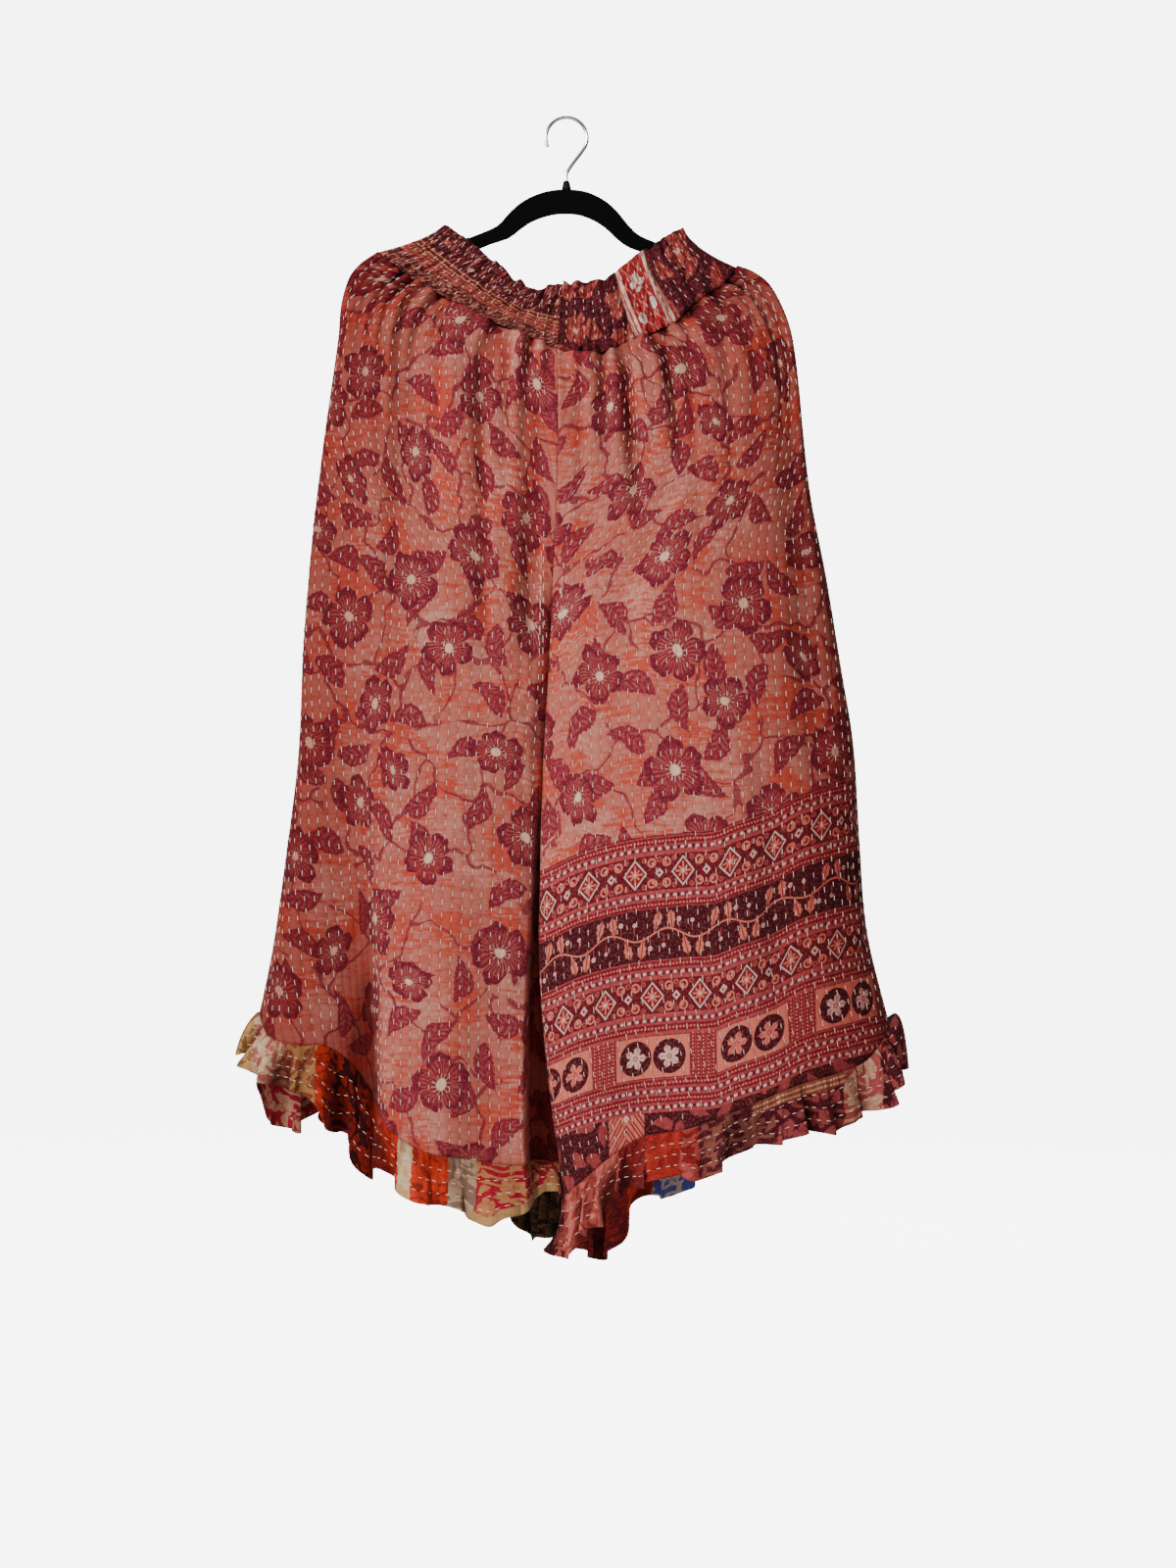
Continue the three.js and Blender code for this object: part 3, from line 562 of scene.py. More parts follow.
# Twigs run along the bent borders between cells, and are left out here and there.
bent = swayed(tree, place, 38, 1.0, 46)
bent = put(tree, "VectorMath", bent, None, None, 1 / TWIG_REPEAT, operation="SCALE")
network = put(tree, "TexVoronoi", bent, None, 1.0, voronoi_dimensions="2D", feature="DISTANCE_TO_EDGE")
thick = noise(tree, place, 14, 1.0) * 2.8 + 0.3
twig = (network * TWIG_REPEAT).below(thick, 0.4) * noise(tree, place, 52, 0.0).above(0.37, 0.02)
give(Blossom=blossom, Vein=vein, Rim=rim, Heart=heart, Leaf=leaf, Leaf_light=leaf_light, Twig=twig)

# Effect: brushed dye, worn in soft streaks and patches.
worn_dye, given, give = new_effect(
    "worn dye",
    [("Place", "Vector", None)] + [(label, "Color", None) for label in ("Light", "Middle", "Strong")],
    [("Color", "Color"), ("Wear", "Float")],
)
tree = worn_dye
place = given["Place"]
patch = noise(tree, place, 60, 2.0, 0.55)
streak = noise(tree, place, 7, 3.0, 0.6, stretch=(0.3, 1.7, 1))
pale = (patch + streak * 0.5).below(0.65, 0.12)
other = noise(tree, shifted(tree, place, (911, 377, 0)), 46, 2.0, 0.55)
hot = (other + streak * 0.9).above(1.02, 0.09)
hatch = noise(tree, place, 4.2, 2.0, 0.5, stretch=(0.22, 1.5, 1)).above(0.56, 0.05)
hatch = hatch * noise(tree, place, 26, 1.0).above(0.47, 0.08)
strong = given["Strong"]
dye = painted(tree, given["Middle"], (pale, given["Light"]), (hot * 0.85, strong), (hatch * 0.55, strong))
give(Color=dye, Wear=noise(tree, place, 2.6, 3.0, 0.65))

# Effect: the hills between the rows of running stitches, the puckers along them, and the weave.
ROW_PITCH = 10
quilting, given, give = new_effect(
    "quilting", [("Place", "Vector", None)], [("Height", "Float"), ("Groove", "Float")]
)
tree = quilting
u, v = parts_of(tree, given["Place"])
off = abs(u.wrapped(ROW_PITCH))
hill = (off * (math.pi / ROW_PITCH)).op("SINE")
pucker = noise(tree, given["Place"], 5.5, 2.0, 0.6, stretch=(0.55, 1.25, 1)) - 0.5
crumple = noise(tree, given["Place"], 24, 2.0, 0.6) - 0.5
thread = (u.wave(0.55) + v.wave(0.62)) * 0.02
give(Height=hill * 0.45 + pucker * (1.7 - hill * 0.6) + crumple * 1.3 + thread, Groove=off.below(1.2, 1.2))


def give_finish(material, dye, height, roughness=0.85, strength=0.7, nap=0.03):
    """Gives a material its colour and its relief, with the soft nap of washed cotton."""
    tree = material.node_tree
    shader = tree.nodes["Principled BSDF"]
    feed(tree, shader.inputs["Base Color"], dye)
    shader.inputs["Roughness"].default_value = roughness
    shader.inputs["Specular IOR Level"].default_value = 0.08
    shader.inputs["Sheen Weight"].default_value = nap
    shader.inputs["Sheen Roughness"].default_value = 0.5
    relief = put(tree, "Bump", strength, MM, None, height)
    feed(tree, shader.inputs["Normal"], relief)


def new_material(name):
    material = bpy.data.materials.new(name)
    material.use_nodes = True
    return material, material.node_tree


MAROON = colour(121, 29, 45)
MAROON_WORN = colour(152, 50, 66)
MAROON_DEEP = colour(92, 12, 34)
CREAM = colour(222, 180, 152)
PRINT_COLOURS = {
    "salmon": (colour(192, 125, 110), colour(177, 99, 85), colour(183, 60, 44)),
    "crimson": (colour(192, 90, 78), colour(170, 52, 48), colour(152, 26, 30)),
}


def printed_ground(tree, place, family):
    """The floral cloth, as its colour and how worn it is."""
    light, middle, strong = PRINT_COLOURS[family]
    ground = effect(tree, worn_dye, Place=place, Light=light, Middle=middle, Strong=strong)
    motifs = effect(tree, flower_print, Place=place)
    wear = ground["Wear"]
    faded = mixed(tree, (wear - 0.4) * 1.2, MAROON, MAROON_WORN)
    edged = mixed(tree, motifs["Rim"] * 0.55, faded, MAROON_DEEP)
    inside = mixed(tree, 0.5, faded, ground["Color"])
    dye = painted(
        tree,
        ground["Color"],
        (motifs["Twig"] * 0.85, faded),
        (motifs["Leaf"], faded),
        (motifs["Leaf"] * motifs["Leaf light"] * 0.7, inside),
        (motifs["Blossom"], edged),
        (motifs["Blossom"] * motifs["Vein"] * 0.56, ground["Color"]),
        (motifs["Heart"], CREAM),
    )
    return dye, wear


def worn_with_groove_shade(tree, dye, wear, groove):
    """Paints shade into the stitched grooves, and lets the pale yarn show where the cloth is rubbed."""
    dye = mixed(tree, (wear - 0.5) * 0.5, dye, colour(236, 190, 170))
    return mixed(tree, groove * 0.22, dye, colour(90, 24, 26))


def with_painted_shade(tree, dye):
    """Painted shade: darkens the dye beside the side seams, low in the folds and pleats, and between the
    legs.
    """
    shade_share, deep = parts_of(tree, millimetres(tree, "kept"))
    dye = mixed(tree, shade_share, dye, times(tree, dye, (0.5, 0.3, 0.3)))
    return mixed(tree, deep, dye, times(tree, dye, (0.2, 0.1, 0.1)))


def quilt_up(material, tree, dye, wear):
    """Gives a printed cloth its wear, painted shade in its grooves and folds, and its quilting."""
    quilt = effect(tree, quilting, Place=millimetres(tree, "cut"))
    give_finish(material, with_painted_shade(tree, worn_with_groove_shade(tree, dye, wear, quilt["Groove"])), quilt["Height"])
    return material


def print_material(name, family):
    material, tree = new_material(name)
    return quilt_up(material, tree, *printed_ground(tree, millimetres(tree, "print"), family))


# Effect: the sari's woven-look border, by the distance along it and down from its top edge.
border_print, given, give = new_effect(
    "sari border", [("Along", "Float", 0.0), ("Down", "Float", 0.0)], [("Color", "Color")]
)
tree = border_print
a, b = given["Along"], given["Down"]
BORDER = {
    "night": colour(62, 4, 18),
    "wine": colour(96, 10, 26),
    "red": colour(116, 14, 32),
    "salmon": colour(208, 108, 92),
    "rose": colour(164, 62, 64),
    "dusk": colour(150, 56, 62),
    "white": colour(218, 172, 160),
}


def nearest(value, middles):
    gap = abs(value - middles[0])
    for middle in middles[1:]:
        gap = gap.least(abs(value - middle))
    return gap


# How far below the border's top edge the middle of each band lies.
DIAMOND_LEVELS = (33.4, 147.6)
VINE_LEVEL = 90.2
DISC_LEVEL = 203.4
HEM_LEVEL = 255
# How far apart its figures stand along it.
DIAMOND_REPEAT = 48
VINE_REPEAT = 58
DISC_REPEAT = 102

# Rows of dots on red, and of paired pale and red ovals on a dusky rose.
dot_row = nearest(b, (4.4, 62.6, 118.5, 177.0, 228.0, 243.0))
oval_row = nearest(b, (11.2, 54.9, 126.0, 169.6, 235.4, 250.4))
rows = painted(
    tree,
    BORDER["rose"],
    (dot_row.below(3.3), BORDER["red"]),
    (long(a.wrapped(3.5), dot_row).below(1.05, 0.35), BORDER["salmon"]),
    (oval_row.below(3.2), BORDER["dusk"]),
    (long((a + 3.8).wrapped(7.6) / 1.5, oval_row).below(1.8, 0.3), BORDER["wine"]),
    (long(a.wrapped(7.6) / 1.3, oval_row).below(1.5, 0.3), BORDER["white"]),
)
# Diamonds with a star in each, small squares between them and curls round about.
x = abs((a + b.below(90) * 17).wrapped(DIAMOND_REPEAT))
y = nearest(b, DIAMOND_LEVELS)
lozenge = x / 11.8 + y / 14.2
square = (DIAMOND_REPEAT / 2 - x) / 4.2 + y / 4.6
rays = x.least(y).least(abs(x - y) * 0.7)
curls = abs(long(x - 16.6, y - 9.6) - 3.5).least(abs(long(x - 17.8, y - 8.6) - 0.9))
sprigs = abs(long(x - 8.9, y - 12.4) - 1.7).least(abs(long(x - 24, y - 12.2) - 1.9))
diamonds = painted(
    tree,
    BORDER["wine"],
    (curls.below(0.95) * lozenge.above(1.14, 0.03), BORDER["salmon"]),
    (sprigs.below(0.85), BORDER["rose"]),
    (square.below(1.0, 0.1), BORDER["white"]),
    (square.below(0.42, 0.1), BORDER["red"]),
    (lozenge.below(1.08, 0.02), BORDER["night"]),
    (lozenge.below(1.0, 0.02), BORDER["white"]),
    (lozenge.below(0.84, 0.02), BORDER["red"]),
    (lozenge.below(0.66, 0.04) * rays.below(0.9), BORDER["salmon"]),
    (lozenge.below(0.16, 0.04), BORDER["white"]),
)
# A trailing vine on the dark ground: a wavy stem with leaves and a pale bud on each side.
turn_over = a.wave(VINE_REPEAT).above(0, 0.01) * 2 - 1
level = b - VINE_LEVEL
x = (a - VINE_REPEAT / 4).wrapped(VINE_REPEAT / 2)
y = level * turn_over
stem = abs(level + a.wave(VINE_REPEAT) * 5)
vine = painted(tree, BORDER["night"], (stem.below(0.85), BORDER["salmon"]))
for middle_x, middle_y, lean in ((-9.5, -12.4, 1.85), (4.5, -13.0, 1.45)):
    p, q = (x - middle_x), (y - middle_y)
    cosine, sine = math.cos(lean), math.sin(lean)
    p, q = p * cosine + q * sine, q * cosine - p * sine
    whole, _ = leaf_masks(p, q, 18.5, 7.6)
    rib = q.near(0, 0.5)
    stalk = rib * p.near(9.6, 2.4, 0.3)
    vine = painted(
        tree, vine, (stalk, BORDER["salmon"]), (whole, BORDER["salmon"]), (rib * whole, BORDER["red"])
    )
for middle_x, middle_y, size in ((12.4, -12.5, 2.3), (-3.2, 10.5, 1.9)):
    bud = long(x - middle_x, y - middle_y)
    stalk = (x - middle_x).near(0, 0.45) * (y - middle_y * 0.5).near(0, abs(middle_y) * 0.4)
    vine = painted(
        tree,
        vine,
        (stalk, BORDER["rose"]),
        (bud.below(size), BORDER["white"]),
        (bud.below(size * 0.3), BORDER["rose"]),
    )
# Panels with a pair of discs, a five-petalled flower in each, and dotted columns between panels.
x = a.wrapped(DISC_REPEAT)
y = b - DISC_LEVEL
disc_x = abs(x) - 17
radius = long(disc_x, y)
angle = (y.op("ARCTAN2", disc_x) + 0.6).wrapped(math.tau / 5)
petal, _ = leaf_masks(radius * angle.op("COSINE") - 6.6, radius * angle.op("SINE"), 11.6, 6.4)
in_white = (a / DISC_REPEAT + 0.5).op("FLOOR").op("PINGPONG", 1.0).below(0.5)
petals = mixed(tree, in_white, BORDER["salmon"], BORDER["white"])
column = (abs(x) - DISC_REPEAT / 2).wrapped(5.2)
panels = painted(
    tree,
    BORDER["red"],
    (long(column, b.wrapped(3.4)).below(1.0, 0.3), BORDER["salmon"]),
    (abs((abs(x) - 53.6).wrapped(5.2)).below(0.5), BORDER["rose"]),
    (abs(x).below(38) * abs(y).below(19.9), BORDER["wine"]),
    (abs(x).below(37.2) * abs(y).below(19.2), BORDER["salmon"]),
    (radius.below(16.2), BORDER["night"]),
    (petal, petals),
    (petal * angle.near(0, 0.05, 0.03), BORDER["rose"]),
    (radius.below(2.4), BORDER["rose"]),
    (radius.below(1.3), petals),
)
# Below the rows the cloth is dark with a few leaves, or near the inseam a zigzag in a frame.
sparse = effect(tree, flower_print, Place=joined(tree, a, b), Size=1.9)
hem_strip = painted(tree, BORDER["night"], (sparse["Leaf"] * 0.7, BORDER["rose"]))
chevrons = abs(((b - 254) - abs((a + 28).wrapped(40)) * 1.3).wrapped(13))
zigzag = painted(
    tree,
    BORDER["salmon"],
    (chevrons.below(3.6), BORDER["red"]),
    (chevrons.below(1.4), BORDER["salmon"]),
    (long((a + 28).wrapped(28), b - 258).below(3), BORDER["white"]),
)
hem_strip = mixed(tree, a.near(-28, 20), hem_strip, zigzag)
border = painted(
    tree,
    rows,
    (nearest(b, (16.4, 50.6, 131.2, 164.0)).below(0.8), BORDER["rose"]),
    (b.near(DIAMOND_LEVELS[0], 16.2), diamonds),
    (b.near(DIAMOND_LEVELS[1], 15.6), diamonds),
    (b.near(VINE_LEVEL, 23.8), vine),
    (b.near(DISC_LEVEL, 20.4), panels),
    (b.above(HEM_LEVEL), hem_strip),
)
give(Color=border)

# Height of the border's top edge on the right front panel, by x.
BORDER_TOP = [
    (-60, -742), (-22, -728.5), (12, -712), (58, -699), (114, -692), (141, -690), (161, -682),
    (197, -670), (227, -655), (278, -642), (320, -634),
]
# The border's own depth for each millimetre that it hangs, and the x where its repeats start.
BORDER_SHRINK = 0.975
BORDER_START = 82


def border_material(name):
    """The right front's cloth: the floral field, and the border below it down to the hem."""
    material, tree = new_material(name)
    dye, wear = printed_ground(tree, millimetres(tree, "print"), "salmon")
    a, b = parts_of(tree, millimetres(tree, "border"))
    bands = effect(tree, border_print, Along=a, Down=b)
    bands = mixed(tree, (wear - 0.4) * 0.26, bands["Color"], colour(190, 96, 90))
    dye = painted(tree, dye, (b.above(-1.2), BORDER["wine"]), (b.above(0), bands))
    return quilt_up(material, tree, dye, wear)


# Each panel's slot and material, and its own place on the printed cloth that it is cut from.
PANEL_CUTS = {
    ("left", "front"): ("print_cloth", print_material("printed cotton, left front", "salmon"), 0, 0),
    ("left", "back"): ("print_cloth", print_material("printed cotton, left back", "salmon"), 1310, 240),
    ("right", "front"): ("border_cloth", border_material("bordered cotton, right front"), 2630, 517),
    ("right", "back"): ("print_cloth", print_material("printed cotton, right back", "crimson"), 3970, 111),
}
PANEL_MESH = {"front": (260, 116), "back": (190, 84)}
panels = {}
for (side, face), (slot, material, shift_u, shift_v) in PANEL_CUTS.items():
    points, kept, unseen = hang_panel(side, face, *PANEL_MESH[face])
    u, v = cut_lengths(points, side)
    x, z = points[..., 0], points[..., 2]
    ahead = slice(None, None, -SIDES[side])
    start = [np.interp(BORDER_START, across[ahead], widths[ahead]) for across, widths in zip(x, u)]
    border = (u - np.array(start)[:, None], (along(BORDER_TOP, x) - z) * BORDER_SHRINK)
    maps = {"cut": (u, v), "print": (u + shift_u, v + shift_v), "border": border}
    # Painted shade, and in the second channel a deeper painted shadow low in the deepest folds and between
    # the legs.
    maps["kept"] = (kept, 5 * np.maximum(kept - 0.9, 0))
    piece = cloth_piece(f"leg_{side}_{face}_cloth", points, -SIDES[side] * FACES[face], maps)
    piece.data.materials.append(material)
    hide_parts(f"leg_{side}_{face}")
    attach(piece, "root")
    panels[side, face] = {"piece": piece, "slot": slot, "points": points, "cut": (u, v)}
    panels[side, face].update(unseen=unseen, kept=kept)

# ---- Running stitches: rows of white thread down the legs ----
# Undyed cotton thread, run through both layers with about 6 mm on top and 6 mm below, row after
# row from the waist to the hem.
STITCH = 6.4
STITCH_PITCH = 12.4
THREAD_RADIUS = 0.34
# The thread's thickness at its ends, how high it lies and how deep its ends dive in.
THREAD_END = 0.55
THREAD_LIFT = CLOTH / 2 + 0.25
DIVE = 0.75
# Hand work: how far a stitch starts off its place, and how short or long it may come out.
STITCH_DRIFT = 0.8
STITCH_LENGTHS = (0.8, 1.12)
STITCH_BENDS = np.array([0.0, 0.22, 0.78, 1.0])
SEAM_MARGIN = 12

thread_material, tree = new_material("undyed thread")
shade = noise(tree, object_place(tree), 0.004, 2.0)
give_finish(thread_material, mixed(tree, shade, colour(234, 194, 178), colour(250, 224, 208)), shade)


def thread_piece(name, stitches):
    """One mesh of many short threads, each given by its four points in millimetres."""
    curve = bpy.data.curves.new(name, "CURVE")
    curve.dimensions = "3D"
    curve.bevel_depth = THREAD_RADIUS * MM
    curve.bevel_resolution = 0
    curve.use_fill_caps = True
    for stitch in stitches:
        spline = curve.splines.new("POLY")
        spline.points.add(len(stitch) - 1)
        spline.points.foreach_set("co", np.hstack([stitch * MM, np.ones((len(stitch), 1))]).ravel())
        spline.points.foreach_set("radius", [THREAD_END] + [1.0] * (len(stitch) - 2) + [THREAD_END])
    maker = bpy.data.objects.new(name + "_curve", curve)
    bpy.context.scene.collection.objects.link(maker)
    mesh = bpy.data.meshes.new_from_object(maker)
    bpy.data.objects.remove(maker)
    bpy.data.curves.remove(curve)
    mesh.name = name
    piece = bpy.data.objects.new(name, mesh)
    bpy.context.scene.collection.objects.link(piece)
    piece.data.materials.append(thread_material)
    return piece


def on_line(places, keys, line):
    """Points of a line at these places, where its own points stand at the keys."""
    return np.stack([np.interp(places, keys, line[:, k]) for k in range(3)], axis=1)


def stitches_on(path, facing, draw, pitch=STITCH_PITCH, stitch=STITCH, lift=THREAD_LIFT, unseen=None):
    """Splits a path over the cloth into stitches that dive in at both ends."""
    run = np.concatenate([[0], np.cumsum(np.linalg.norm(np.diff(path, axis=0), axis=1))])
    starts = np.arange(draw.uniform(0, pitch), run[-1] - stitch, pitch)
    found = []
    for start in starts:
        start += draw.uniform(-STITCH_DRIFT, STITCH_DRIFT)
        length = stitch * draw.uniform(*STITCH_LENGTHS)
        at = start + length * STITCH_BENDS
        if at[0] < 0 or at[-1] > run[-1]:
            continue
        if unseen is not None and np.interp(at[1], run, unseen) > 0.3:
            continue
        lifts = lift + np.array([-DIVE, 0, 0, -DIVE])
        found.append(on_line(at, run, path) + on_line(at, run, facing) * lifts[:, None])
    return found


def row_path(points, facing, widths, unseen, u):
    """Where one row of stitches, u across the flat cloth, runs over the hung cloth."""
    columns = np.arange(points.shape[1])
    inside = (widths[:, 0] + SEAM_MARGIN < u) & (u < widths[:, -1] - SEAM_MARGIN)
    if inside.sum() < 6:
        return None, None, None
    rows = np.nonzero(inside)[0]
    at = np.array([np.interp(u, widths[r], columns) for r in rows])
    low = np.minimum(at.astype(int), points.shape[1] - 2)
    share = (at - low)[:, None]
    path = lerp(points[rows, low], points[rows, low + 1], share)
    normal = lerp(facing[rows, low], facing[rows, low + 1], share)
    return path, normal, lerp(unseen[rows, low], unseen[rows, low + 1], share[:, 0])


for (side, face), panel in panels.items():
    draw = np.random.default_rng(70 + SIDES[side] * 2 + FACES[face])
    points, (u, v) = panel["points"], panel["cut"]
    ahead = slice(None, None, -SIDES[side])
    points, u, unseen = points[:, ahead], u[:, ahead], panel["unseen"][:, ahead]
    facing = facing_of(points, FACES[face])
    stitches = []
    for row in np.arange(math.ceil(u.min() / ROW_PITCH), math.floor(u.max() / ROW_PITCH) + 1):
        path, normal, sunk = row_path(points, facing, u, unseen, row * ROW_PITCH + draw.uniform(-0.6, 0.6))
        if path is not None:
            stitches += stitches_on(path[2:-2], normal[2:-2], draw, unseen=sunk[2:-2])
    panel["stitches"] = thread_piece(f"leg_{side}_{face}_stitches", stitches)
    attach(panel["stitches"], "root")

# ---- Ruffles: a gathered strip of bright sari cloth round each hem ----
# Strips joined from several scarf and sari ends, cut on their raw edges, gathered to the hem with
# thread, so that they stand out and curl over.

# Share of the ruffle from the side seam in, its width there, and how far out it stands for its width.
RUFFLES = {
    ("left", "front"): [
        (0.0, 42, 0.58), (0.05, 35, 0.55), (0.14, 32, 0.6), (0.22, 44, 0.4), (0.29, 46, 0.3),
        (0.34, 80, 0.2), (0.376, 62, 0.2), (0.403, 75, 0.3), (0.43, 70, 0.3), (0.455, 46, 0.4),
        (0.55, 45, 0.45), (0.64, 50, 0.6), (0.69, 50, 0.9), (0.74, 44, 1.0), (0.79, 35, 1.1),
        (0.84, 27, 1.4), (0.89, 22, 1.4), (0.95, 30, 0.6), (1.0, 38, 0.2),
    ],
    ("left", "back"): [
        (0.0, 26, 0.5), (0.04, 28, 0.4), (0.09, 48, 0.3), (0.135, 62, 0.3), (0.185, 64, 0.3),
        (0.225, 66, 0.3), (0.26, 60, 0.3), (0.29, 44, 0.3), (0.33, 46, 0.3), (0.72, 56, 0.3),
        (0.76, 82, 0.2), (0.86, 82, 0.15), (0.9, 64, 0.1), (1.0, 58, 0),
    ],
    ("right", "front"): [
        (0.0, 34, 0.5), (0.08, 40, 0.4), (0.3, 49, 0.3), (0.47, 39, 0.4), (0.53, 42, 0.5),
        (0.56, 50, 0.5), (0.6, 42, 0.45), (0.75, 42, 0.4), (0.86, 58, 0.25), (1.0, 54, 0),
    ],
    ("right", "back"): [
        (0.0, 34, 0.48), (0.1, 42, 0.35), (0.5, 44, 0.3), (0.55, 54, 0.3), (0.61, 46, 0.3),
        (0.66, 30, 0.3), (0.695, 36, 0.3), (0.725, 66, 0.3), (0.77, 64, 0.25), (0.8, 56, 0.25),
        (0.9, 50, 0.25), (1.0, 50, 0),
    ],
}
RUFFLE_CLOTH = 1.4
RUFFLE_ROWS, RUFFLE_COLUMNS = 26, 300
# The length and the width of the strip before it is gathered, which its creases are measured by.
RUFFLE_LENGTH, RUFFLE_WIDTH = 620, 40
RUFFLE_WAVES = 8
RUFFLE_WAVE = {"front": 14, "back": 10}
RUFFLE_CURL = 6
RUFFLE_SCALLOP = 0.07
RUFFLE_BOW = 0.65
RUFFLE_LEAN = {"left": 0, "right": -18}
# How far the ruffle stands up above its seam beside the side seam.
RUFFLE_RISE = {"left": 4, "right": 22}
# The rows of the ruffle's mesh that are stitched along, and the stitches' own size there.
RUFFLE_STITCH_ROWS = (7, 13, 19)
RUFFLE_STITCH, RUFFLE_STITCH_PITCH, RUFFLE_LIFT = 5.4, 9.5, 0.95


def hang_ruffle(side, face):
    """A hem's ruffle: rows from the gathered seam to the free edge, and how much painted shade each place
    gets.
    """
    sign, outward = SIDES[side], FACES[face]
    hem = panels[side, face]["points"][-1]
    share, places = np.linspace(0, 1, RUFFLE_COLUMNS), np.linspace(0, 1, len(hem))
    top = on_line(share, places, hem)
    reach = np.linspace(0, 1, RUFFLE_ROWS)[:, None]
    share = share[None, :]
    turn = math.pi * share[0]
    out = np.stack([sign * np.maximum(np.cos(turn), -0.1), outward * 2 * np.sin(turn), 0 * turn], axis=1)
    out /= np.linalg.norm(out, axis=1, keepdims=True)
    beside = np.stack([-out[:, 1], out[:, 0], 0 * turn], axis=1)
    table = RUFFLES[side, face]
    phase = 2 * math.pi * RUFFLE_WAVES * share + 0.8 * np.sin(2 * math.pi * 2.5 * share)
    loose = smoothstep(0, 0.08, share) * smoothstep(0, 0.1, 1 - share)
    uneven = 0.85 + 0.6 * ripples(RUFFLE_LENGTH * share, 0 * share, 45, 1, 300 + 2 * sign + outward)
    folds = 0.7 * np.sin(phase) + 0.5 * np.sin(2.1 * phase + 1.3)
    wave = RUFFLE_WAVE[face] * uneven * reach**0.8 * folds * lerp(0.1, 1, loose)
    curl = -RUFFLE_CURL * uneven * reach * np.sin(2 * phase) * loose
    drop = along(table, share) * (1 + RUFFLE_SCALLOP * np.sin(phase) * loose)
    bow = reach * (2 * RUFFLE_BOW * (2 - 2 * reach) + 2 * reach - 1)
    flare = bow * along(table, share) * along(table, share, 2)
    lean = RUFFLE_LEAN[side] * reach**3 * smoothstep(0.86, 1, share) * (1 if face == "front" else 0.3)
    # Small pleats at the gathering thread, and creases that wander towards the edge.
    seed = 120 + 2 * sign + outward
    length, width = RUFFLE_LENGTH * share, RUFFLE_WIDTH * reach
    pleats = 3.0 * ripples(length, width, 4.5, 60, seed) * np.exp(-reach / 0.35) * smoothstep(0, 0.12, reach)
    crease = 6.5 * ripples(length, width, 17, 36, seed + 7) * reach * loose
    frill = 3.0 * ripples(length, width, 7, 22, seed + 14) * reach * loose
    sway = 3.2 * ripples(length, width, 12, 30, seed + 21) * reach * loose
    if (side, face) == ("left", "front"):
        # Beside the inseam the ruffle is pulled smooth and turned out.
        pulled = 1 - 0.85 * smoothstep(0.62, 0.68, share) * (1 - smoothstep(0.93, 0.97, share))
        wave, curl, crease, frill, pleats = (part * pulled for part in (wave, curl, crease, frill, pleats))
    outwards = (flare + wave + pleats + crease + frill)[..., None] * out[None]
    sideways = (curl + sway)[..., None] * beside[None]
    rise = RUFFLE_RISE[side] * np.sin(math.pi * reach**0.8) * (1 - smoothstep(0, 0.1, share))
    fall = np.stack(np.broadcast_arrays(lean, 0 * reach, rise - reach * drop), axis=2)
    # Painted shade: the ruffle is darker in its hollows, and beneath the leg's deep valley.
    hollow = (wave + 2 * pleats + 1.2 * crease + frill) * (1 if face == "front" else -1)
    in_valley = np.interp(share[0], places, panels[side, face]["kept"][-1])
    in_valley = in_valley * smoothstep(0.16, 0.22, share[0]) * (1 - smoothstep(0.6, 0.7, share[0]))
    shade = np.clip(np.maximum(0.35 - hollow / 11, 0.9 * in_valley), 0, 1)
    return top[None] + outwards + sideways + fall, shade


def ruffle_material(name, patches, side, face):
    """Joined scarf ends: each patch runs to its x, in its ground and motif colours."""
    material, tree = new_material(name)
    cut = millimetres(tree, "cut")
    x, _ = parts_of(tree, millimetres(tree))
    u, v = parts_of(tree, cut)
    wobble = noise(tree, cut, 9, 1.0) * 8 - 4
    low, high = patches[0][0] - 20, patches[-1][0] + 20
    where = (x + wobble - low) / (high - low)
    dyes = []
    for choice in (1, 2):
        node = tree.nodes.new("ShaderNodeValToRGB")
        node.color_ramp.interpolation = "CONSTANT"
        feed(tree, node.inputs[0], where)
        stops = node.color_ramp.elements
        while len(stops) < len(patches):
            stops.new(1)
        for start, patch, stop in zip([low] + [end for end, _, _ in patches], patches, stops):
            stop.position = (start - low) / (high - low)
            stop.color = colour(*patch[choice])
        dyes.append(Wire(tree, node.outputs[0]))
    wavy = (v + (u * 0.16).op("SINE") * 2.2).wrapped(9)
    stripes = abs(wavy).below(1.5, 0.4)
    motifs = effect(tree, flower_print, Place=cut, Size=2.7)
    figure = motifs["Leaf"].most(motifs["Blossom"] * (1 - motifs["Vein"]))
    figure = figure.most(stripes * noise(tree, cut, 48, 0.0).above(0.5, 0.02))
    wear = noise(tree, cut, 2.4, 3.0, 0.65)
    dye = painted(tree, dyes[0], (figure * 0.75, dyes[1]))
    if (side, face) == ("left", "front"):
        # The plain gold edge of a scarf end is turned out beside the inseam.
        _, from_edge = parts_of(tree, millimetres(tree, "edge"))
        rim = from_edge.below(9, 0.6) * x.near(-50, 42, 3)
        dye = mixed(tree, rim, dye, mixed(tree, wear, colour(150, 112, 66), colour(206, 164, 108)))
    if side == "right":
        # Where the gathers are drawn up beside the hem a dotted gold selvedge shows.
        dots = long(u.wrapped(3.4), nearest(v, (4.5, 9.5))).below(1.2, 0.4)
        rubbed = mixed(tree, wear, colour(90, 30, 34), colour(170, 96, 72))
        selvedge = mixed(tree, dots, rubbed, colour(214, 168, 124))
        dye = mixed(tree, v.below(12, 1) * x.near(222, 44, 4), dye, selvedge)
    quilt = effect(tree, quilting, Place=joined(tree, v, u))
    give_finish(material, with_painted_shade(tree, worn_with_groove_shade(tree, dye, wear, quilt["Groove"] * 0.6)), quilt["Height"])
    return material


